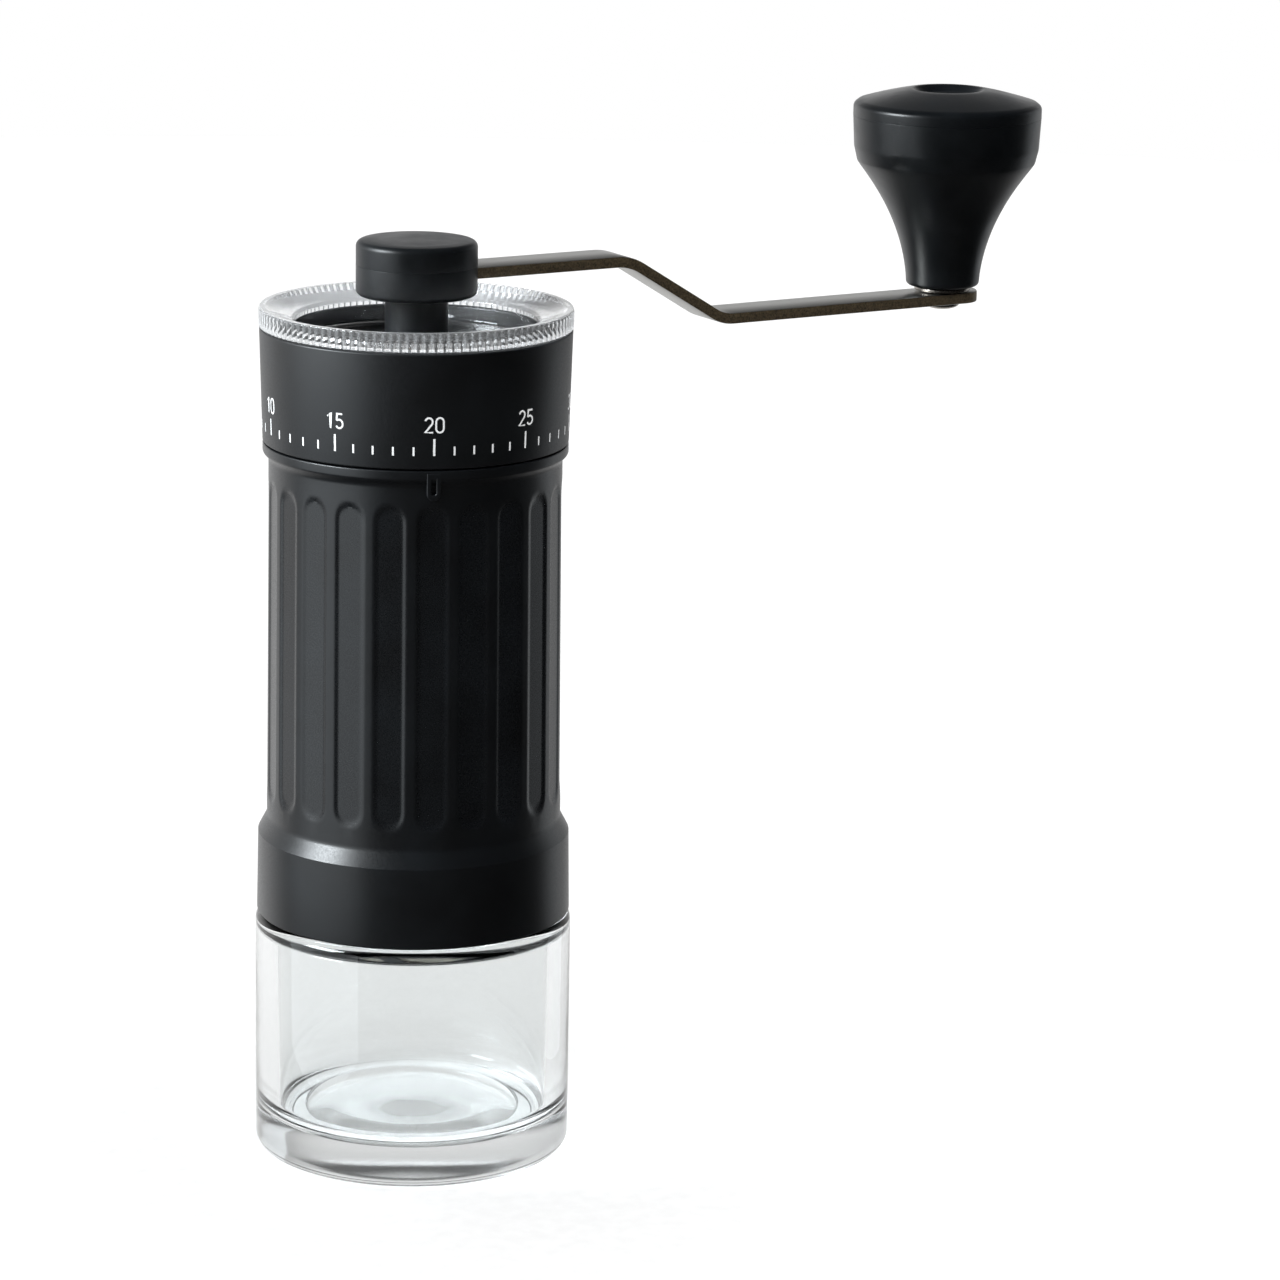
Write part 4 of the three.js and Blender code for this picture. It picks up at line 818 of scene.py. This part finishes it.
def crank_arm():
    """Flat steel strip with two bends and a round tip. Its narrow edges get a darker colour as painted
    shade.
    """
    tip_reach, body_steps, tip_steps, thinnest = 7.9, 260, 16, 0.02
    at = arm_path()
    total, step = 60.0, 0.05
    while at(total)[0] < ARM_LENGTH + tip_reach:
        total += step
    tip = total - ARM_HALF
    stations = [-ARM_BACK + (tip + ARM_BACK) * i / body_steps for i in range(body_steps + 1)]
    stations += [tip + ARM_HALF * math.sin(math.pi / 2 * k / tip_steps) for k in range(1, tip_steps + 1)]
    rows = []
    for s in stations:
        past = max(0.0, s - tip)
        width = math.sqrt(max(ARM_HALF ** 2 - past ** 2, thinnest))
        x, z, heading = at(s) if s > 0 else (s, 0.0, 0.0)
        rows.append([(x - t * math.sin(heading), y, ARM_SEAT + z + t * math.cos(heading))
                     for y, t in strip_section(width)])
    bm = sweep_rows(rows, closed=False)
    bm.verts.ensure_lookup_table()
    for end in (bm.verts[:len(rows[0])], bm.verts[-len(rows[0]):]):
        bm.faces.new(end)
    arm = finish_mesh("bent_crank_arm", bm, 30)
    turn_about_axis(arm, CRANK_ANGLE)
    place(arm, "crank", "steel", ARM_STEEL, "crank_arm")
    side = Vector((-math.sin(CRANK_ANGLE), math.cos(CRANK_ANGLE), 0))
    tip_start, steep = (ARM_LENGTH + 1.5) * MM, 0.6

    def on_edge(face):
        at_tip = face.center.length > tip_start and abs(face.normal.z) < steep
        return abs(face.normal.dot(side)) > steep or at_tip

    # The sides and the tip's rim get the darker edge colour: painted shade.
    refinish(arm, EDGE_STEEL_PAINTED_SHADE, on_edge)


# ------------------------------------------------------------------ knob
def bezier(points, steps):
    """Points along a quadratic or cubic Bezier curve."""
    degree = len(points) - 1
    line = []
    for k in range(steps + 1):
        t = k / steps
        weights = [math.comb(degree, n) * t ** n * (1 - t) ** (degree - n) for n in range(degree + 1)]
        line.append(tuple(sum(w * p[axis] for w, p in zip(weights, points)) for axis in (0, 1)))
    return line


CROWN_PLUG = 2.2                  # part of the crown that plugs into the grip
SEAM = CROWN_LOW + CROWN_PLUG


def knob():
    """Grip: a broad band above a throat that narrows to the foot, hollow round the pin's end."""
    foot, foot_round, pin_hole, wall, cavity = 7.8, 1.0, 2.56, 4.5, 5.0
    band_height, band_round, throat_steps = 9.2, 6.0, 32
    band_low = KNOB_HIGH - band_height
    reach = band_low - KNOB_LOW
    bore, cavity_floor = KNOB_R - wall, KNOB_HIGH - cavity
    throat = bezier([(foot, KNOB_LOW + foot_round), (foot + 1.1, KNOB_LOW + reach * 0.59),
                     (KNOB_R - 1.3, band_low - 1.3), (KNOB_R - 1.0, band_low)], throat_steps)
    heel = rounded([(foot - 3, KNOB_LOW), (foot - 0.05, KNOB_LOW, foot_round), throat[1]], 6)[1:-1]
    band = rounded([throat[-1], (KNOB_R - 0.35, band_low + 2.8, band_round), (KNOB_R, SEAM, SEAM_EDGE),
                    (bore, SEAM)], 8)[1:]
    outline = [(pin_hole, KNOB_LOW)] + heel + throat[1:] + band
    outline += [(bore, cavity_floor), (pin_hole, cavity_floor)]
    body = turned("knob_grip", outline, 160, centre=(KNOB_X, KNOB_Y))
    place(body, "knob", "black_plastic", KNOB_BLACK, "knob_body")


def knob_crown():
    """Cap on the grip: a short side, a cone up to a soft rim, and a dimple inside it."""
    plug_wall, side, step = 4.8, 2.3, 1
    low, top, plug = SEAM, CROWN_HIGH - 0.3, KNOB_R - plug_wall
    dimple, depth, cone_steps = 7.2, 2.4, 16
    cone = bezier([(KNOB_R - 1.0, low + side + 0.75), (KNOB_R - 6.3, top - 1.0), (dimple + 1.6, top - 0.1)],
                  cone_steps)
    edge = rounded([(KNOB_R - step, low), (KNOB_R, low, SEAM_EDGE), (KNOB_R, low + side, 1.3), cone[0]], 7)
    bowl = rounded([cone[-2], (dimple + 0.3, top + 0.05, 1.0), (dimple - 1.4, top - 1.3, 1.6),
                    (2.5, top - depth + 0.1, 2.0), (0.4, top - depth)], 6)
    outline = [(0, CROWN_LOW), (plug, CROWN_LOW), (plug, low), (KNOB_R - step, low)]
    outline += edge[1:-1] + cone + bowl[1:-1] + [(0, top - depth)]
    cap = turned("knob_crown", outline, 160, centre=(KNOB_X, KNOB_Y))
    place(cap, "knob", "black_plastic", KNOB_BLACK, "knob_cap")


def knob_hardware():
    """Washer between arm and knob, and the pin with its domed head and the groove for its circlip."""
    washer_bore, washer_edge = 2.65, 0.2
    ring = ring_outline(washer_bore, WASHER_R, WASHER_LOW, WASHER_HIGH, washer_edge)
    washer = turned("knob_spacer_washer", ring, 96, centre=(KNOB_X, KNOB_Y))
    place(washer, "crank", "steel", TURNED_STEEL, "knob_washer")
    head, shank_r, groove_r, dome_steps = 1.3, 2.5, 2.0, 10
    groove_low, groove_high = PIN_HIGH - 1.7, PIN_HIGH - 0.7
    angles = [math.pi / 2 * k / dome_steps for k in range(dome_steps + 1)]
    dome_line = [(PIN_R * math.sin(a), PIN_LOW + head * (1 - math.cos(a))) for a in angles]
    shank = rounded([(shank_r, PIN_LOW + head), (shank_r, groove_low), (groove_r, groove_low),
                     (groove_r, groove_high), (shank_r, groove_high), (shank_r, PIN_HIGH, 0.3),
                     (0, PIN_HIGH)], 3)
    pin = turned("knob_rivet", dome_line + shank, 64, centre=(KNOB_X, KNOB_Y))
    place(pin, "crank", "steel", TURNED_STEEL, "knob_pin")


# ------------------------------------------------------------------ pieces kept from the frame
KEPT = {
    "dial_snap_ring": SPRING_STEEL, "detent_leaf": SPRING_STEEL, "bearing_carrier": HUB_BLACK,
    "upper_bush": BUSH_BRONZE, "hopper_funnel": HUB_BLACK, "burr_holder": NYLON_GREY,
    "outer_burr": BURR_CERAMIC, "burr_frame": NYLON_GREY, "lower_bush": BUSH_BRONZE,
    "burr_screw_1": TURNED_STEEL, "burr_screw_2": TURNED_STEEL, "burr_screw_3": TURNED_STEEL,
    "drive_shaft": TURNED_STEEL, "inner_burr": BURR_CERAMIC, "burr_spring": SPRING_STEEL,
    "thrust_washer": TURNED_STEEL, "shaft_clip": SPRING_STEEL, "shaft_end_clip": SPRING_STEEL,
    "hub_screw": TURNED_STEEL, "knob_clip": SPRING_STEEL,
}


def kept_nodes():
    """Gives the inner works, which keep their own meshes, their finishes."""
    for name, material in KEPT.items():
        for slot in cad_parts[name].material_slots:
            slot.material = material


# ------------------------------------------------------------------ stage, light and camera
UNLIT_FLOOR = bpy.data.collections.new("softboxes_skip_the_floor")


def paper_floor():
    """Round white paper floor that the softboxes don't light, so that it stays even through the glass."""
    radius = 1500
    disc = bmesh.new()
    bmesh.ops.create_circle(disc, cap_ends=True, segments=96, radius=radius)
    floor = finish_mesh("studio_floor", disc)
    paper, tree, shader = new_material("matt_white_paper", Metallic=0.0, Roughness=0.9)
    fibre = grain(tree, object_point(tree), size_mm=4, detail=4)
    connect(tree, shader, tint(tree, fibre, "#f4f4f4", "#fafafa"))
    floor.data.materials.append(paper)
    floor.visible_glossy = False
    floor.visible_shadow = False
    UNLIT_FLOOR.objects.link(floor)
    UNLIT_FLOOR.collection_objects[0].light_linking.link_state = "EXCLUDE"


def floor_light():
    """Broad soft light from above that shows neither in reflections nor through glass."""
    light = bpy.data.lights.new("even_floor_light", "SUN")
    light.energy, light.angle = 3.75, math.radians(120)
    lamp = bpy.data.objects.new("even_floor_light", light)
    lamp.visible_glossy = False
    lamp.visible_transmission = False
    bpy.context.scene.collection.objects.link(lamp)


def room():
    """White background. Reflections, soft light and rays through glass get a darker room instead."""
    world = bpy.data.worlds.new("studio")
    bpy.context.scene.world = world
    world.use_nodes = True
    tree = world.node_tree
    background = tree.nodes["Background"]
    direction = node(tree, "ShaderNodeTexCoord").outputs["Generated"]
    axes = node(tree, "ShaderNodeSeparateXYZ", links={"Vector": direction})
    rays = node(tree, "ShaderNodeLightPath")

    def fade(axis, start, end, low, high):
        """Brightness that runs from low to high between two places on an axis of the view direction."""
        inputs = {"From Min": start, "From Max": end, "To Min": low, "To Max": high}
        made = node(tree, "ShaderNodeMapRange", {"interpolation_type": "SMOOTHSTEP"}, inputs,
                    {"Value": axes.outputs[axis]})
        return made.outputs["Result"]

    def choose(test, otherwise, then):
        """One brightness where a test is 1, another where it is 0."""
        pick = node(tree, "ShaderNodeMix", {"data_type": "FLOAT"}, links={"Factor": test, "A": otherwise})
        if isinstance(then, float):
            pick.inputs["B"].default_value = then
        else:
            tree.links.new(then, pick.inputs["B"])
        return pick.outputs["Result"]

    def product(one, two):
        """Two brightnesses multiplied."""
        return node(tree, "ShaderNodeMath", {"operation": "MULTIPLY"}, links={0: one, 1: two}).outputs[0]

    # Reflections see a dark room with a low white sweep behind the object.
    low_back = product(fade("Y", 0.2, 0.8, 0.03, 1.0), fade("Z", 0.1, 0.5, 1.0, 0.15))
    sweep = product(low_back, fade("X", 0.1, 0.8, 1.0, 0.4))
    # Through glass the room is paler, and darker towards the front, the right and the top.
    pale_back = product(fade("Y", -0.7, 0.4, 0.4, 0.9), fade("X", 0.45, 0.95, 1.0, 0.45))
    through = product(pale_back, fade("Z", 0.2, 0.7, 1.0, 0.3))
    in_glass = node(tree, "ShaderNodeMath", {"operation": "GREATER_THAN"},
                    links={0: rays.outputs["Transmission Depth"]}).outputs[0]
    seen = choose(in_glass, sweep, through)
    seen = choose(rays.outputs["Is Diffuse Ray"], seen, sweep)
    seen = choose(rays.outputs["Is Camera Ray"], seen, 1.0)
    background.inputs["Color"].default_value = (1, 1, 1, 1)
    tree.links.new(seen, background.inputs["Strength"])


def softbox(name, azimuth, height, distance, size, energy):
    """Rectangular softbox. Azimuth goes round the object in degrees: 0 in front (-Y), 90 at the right."""
    aim = Vector((0, 0, 0.11))
    light = bpy.data.lights.new(name, "AREA")
    light.color = (0.9, 0.96, 1.0)
    light.shape, light.size, light.size_y, light.energy = "RECTANGLE", size[0], size[1], energy
    angle = math.radians(azimuth)
    lamp = bpy.data.objects.new(name, light)
    lamp.location = Vector((math.sin(angle) * distance, -math.cos(angle) * distance, height))
    lamp.rotation_euler = (aim - lamp.location).to_track_quat("-Z", "Y").to_euler()
    bpy.context.scene.collection.objects.link(lamp)
    lamp.light_linking.receiver_collection = UNLIT_FLOOR


def camera():
    """Camera a metre in front of the grinder and slightly to its left, looking down on it."""
    distance, height, azimuth = 1.0008, 0.3509, math.radians(-6.7)
    yaw, pitch, roll = math.radians(2.64), math.radians(13.65), math.radians(0.95)
    forward = Vector((math.sin(yaw) * math.cos(pitch), math.cos(yaw) * math.cos(pitch), -math.sin(pitch)))
    level = Vector((math.cos(yaw), -math.sin(yaw), 0))
    upright = level.cross(forward)
    right = math.cos(roll) * level + math.sin(roll) * upright
    up = -math.sin(roll) * level + math.cos(roll) * upright
    basis = Matrix((right, up, -forward)).transposed()
    turn = Matrix.Rotation(azimuth, 3, "Z")
    data = bpy.data.cameras.new("view")
    data.sensor_width = 36
    data.lens = 141.44
    data.clip_start, data.clip_end = 0.05, 20
    eye = bpy.data.objects.new("view", data)
    eye.matrix_world = Matrix.Translation(turn @ Vector((0, -distance, height))) @ (turn @ basis).to_4x4()
    bpy.context.scene.collection.objects.link(eye)
    bpy.context.scene.camera = eye


camera()
paper_floor()
floor_light()
room()
softbox("left_low", azimuth=-75, height=0.1, distance=0.9, size=(1.0, 0.8), energy=2.9)
softbox("left_high", azimuth=-82, height=0.62, distance=0.85, size=(0.45, 0.4), energy=15.0)
softbox("right_back", azimuth=118, height=0.12, distance=0.9, size=(0.4, 0.8), energy=0.5)
bpy.context.scene.view_settings.view_transform = "Standard"

glass_jar()
jar_gasket()
fluted_body()
index_lug()
dial_ring()
dial_scale()
clear_lid()
crank_hub()
hub_cap()
crank_arm()
knob()
knob_crown()
knob_hardware()
kept_nodes()
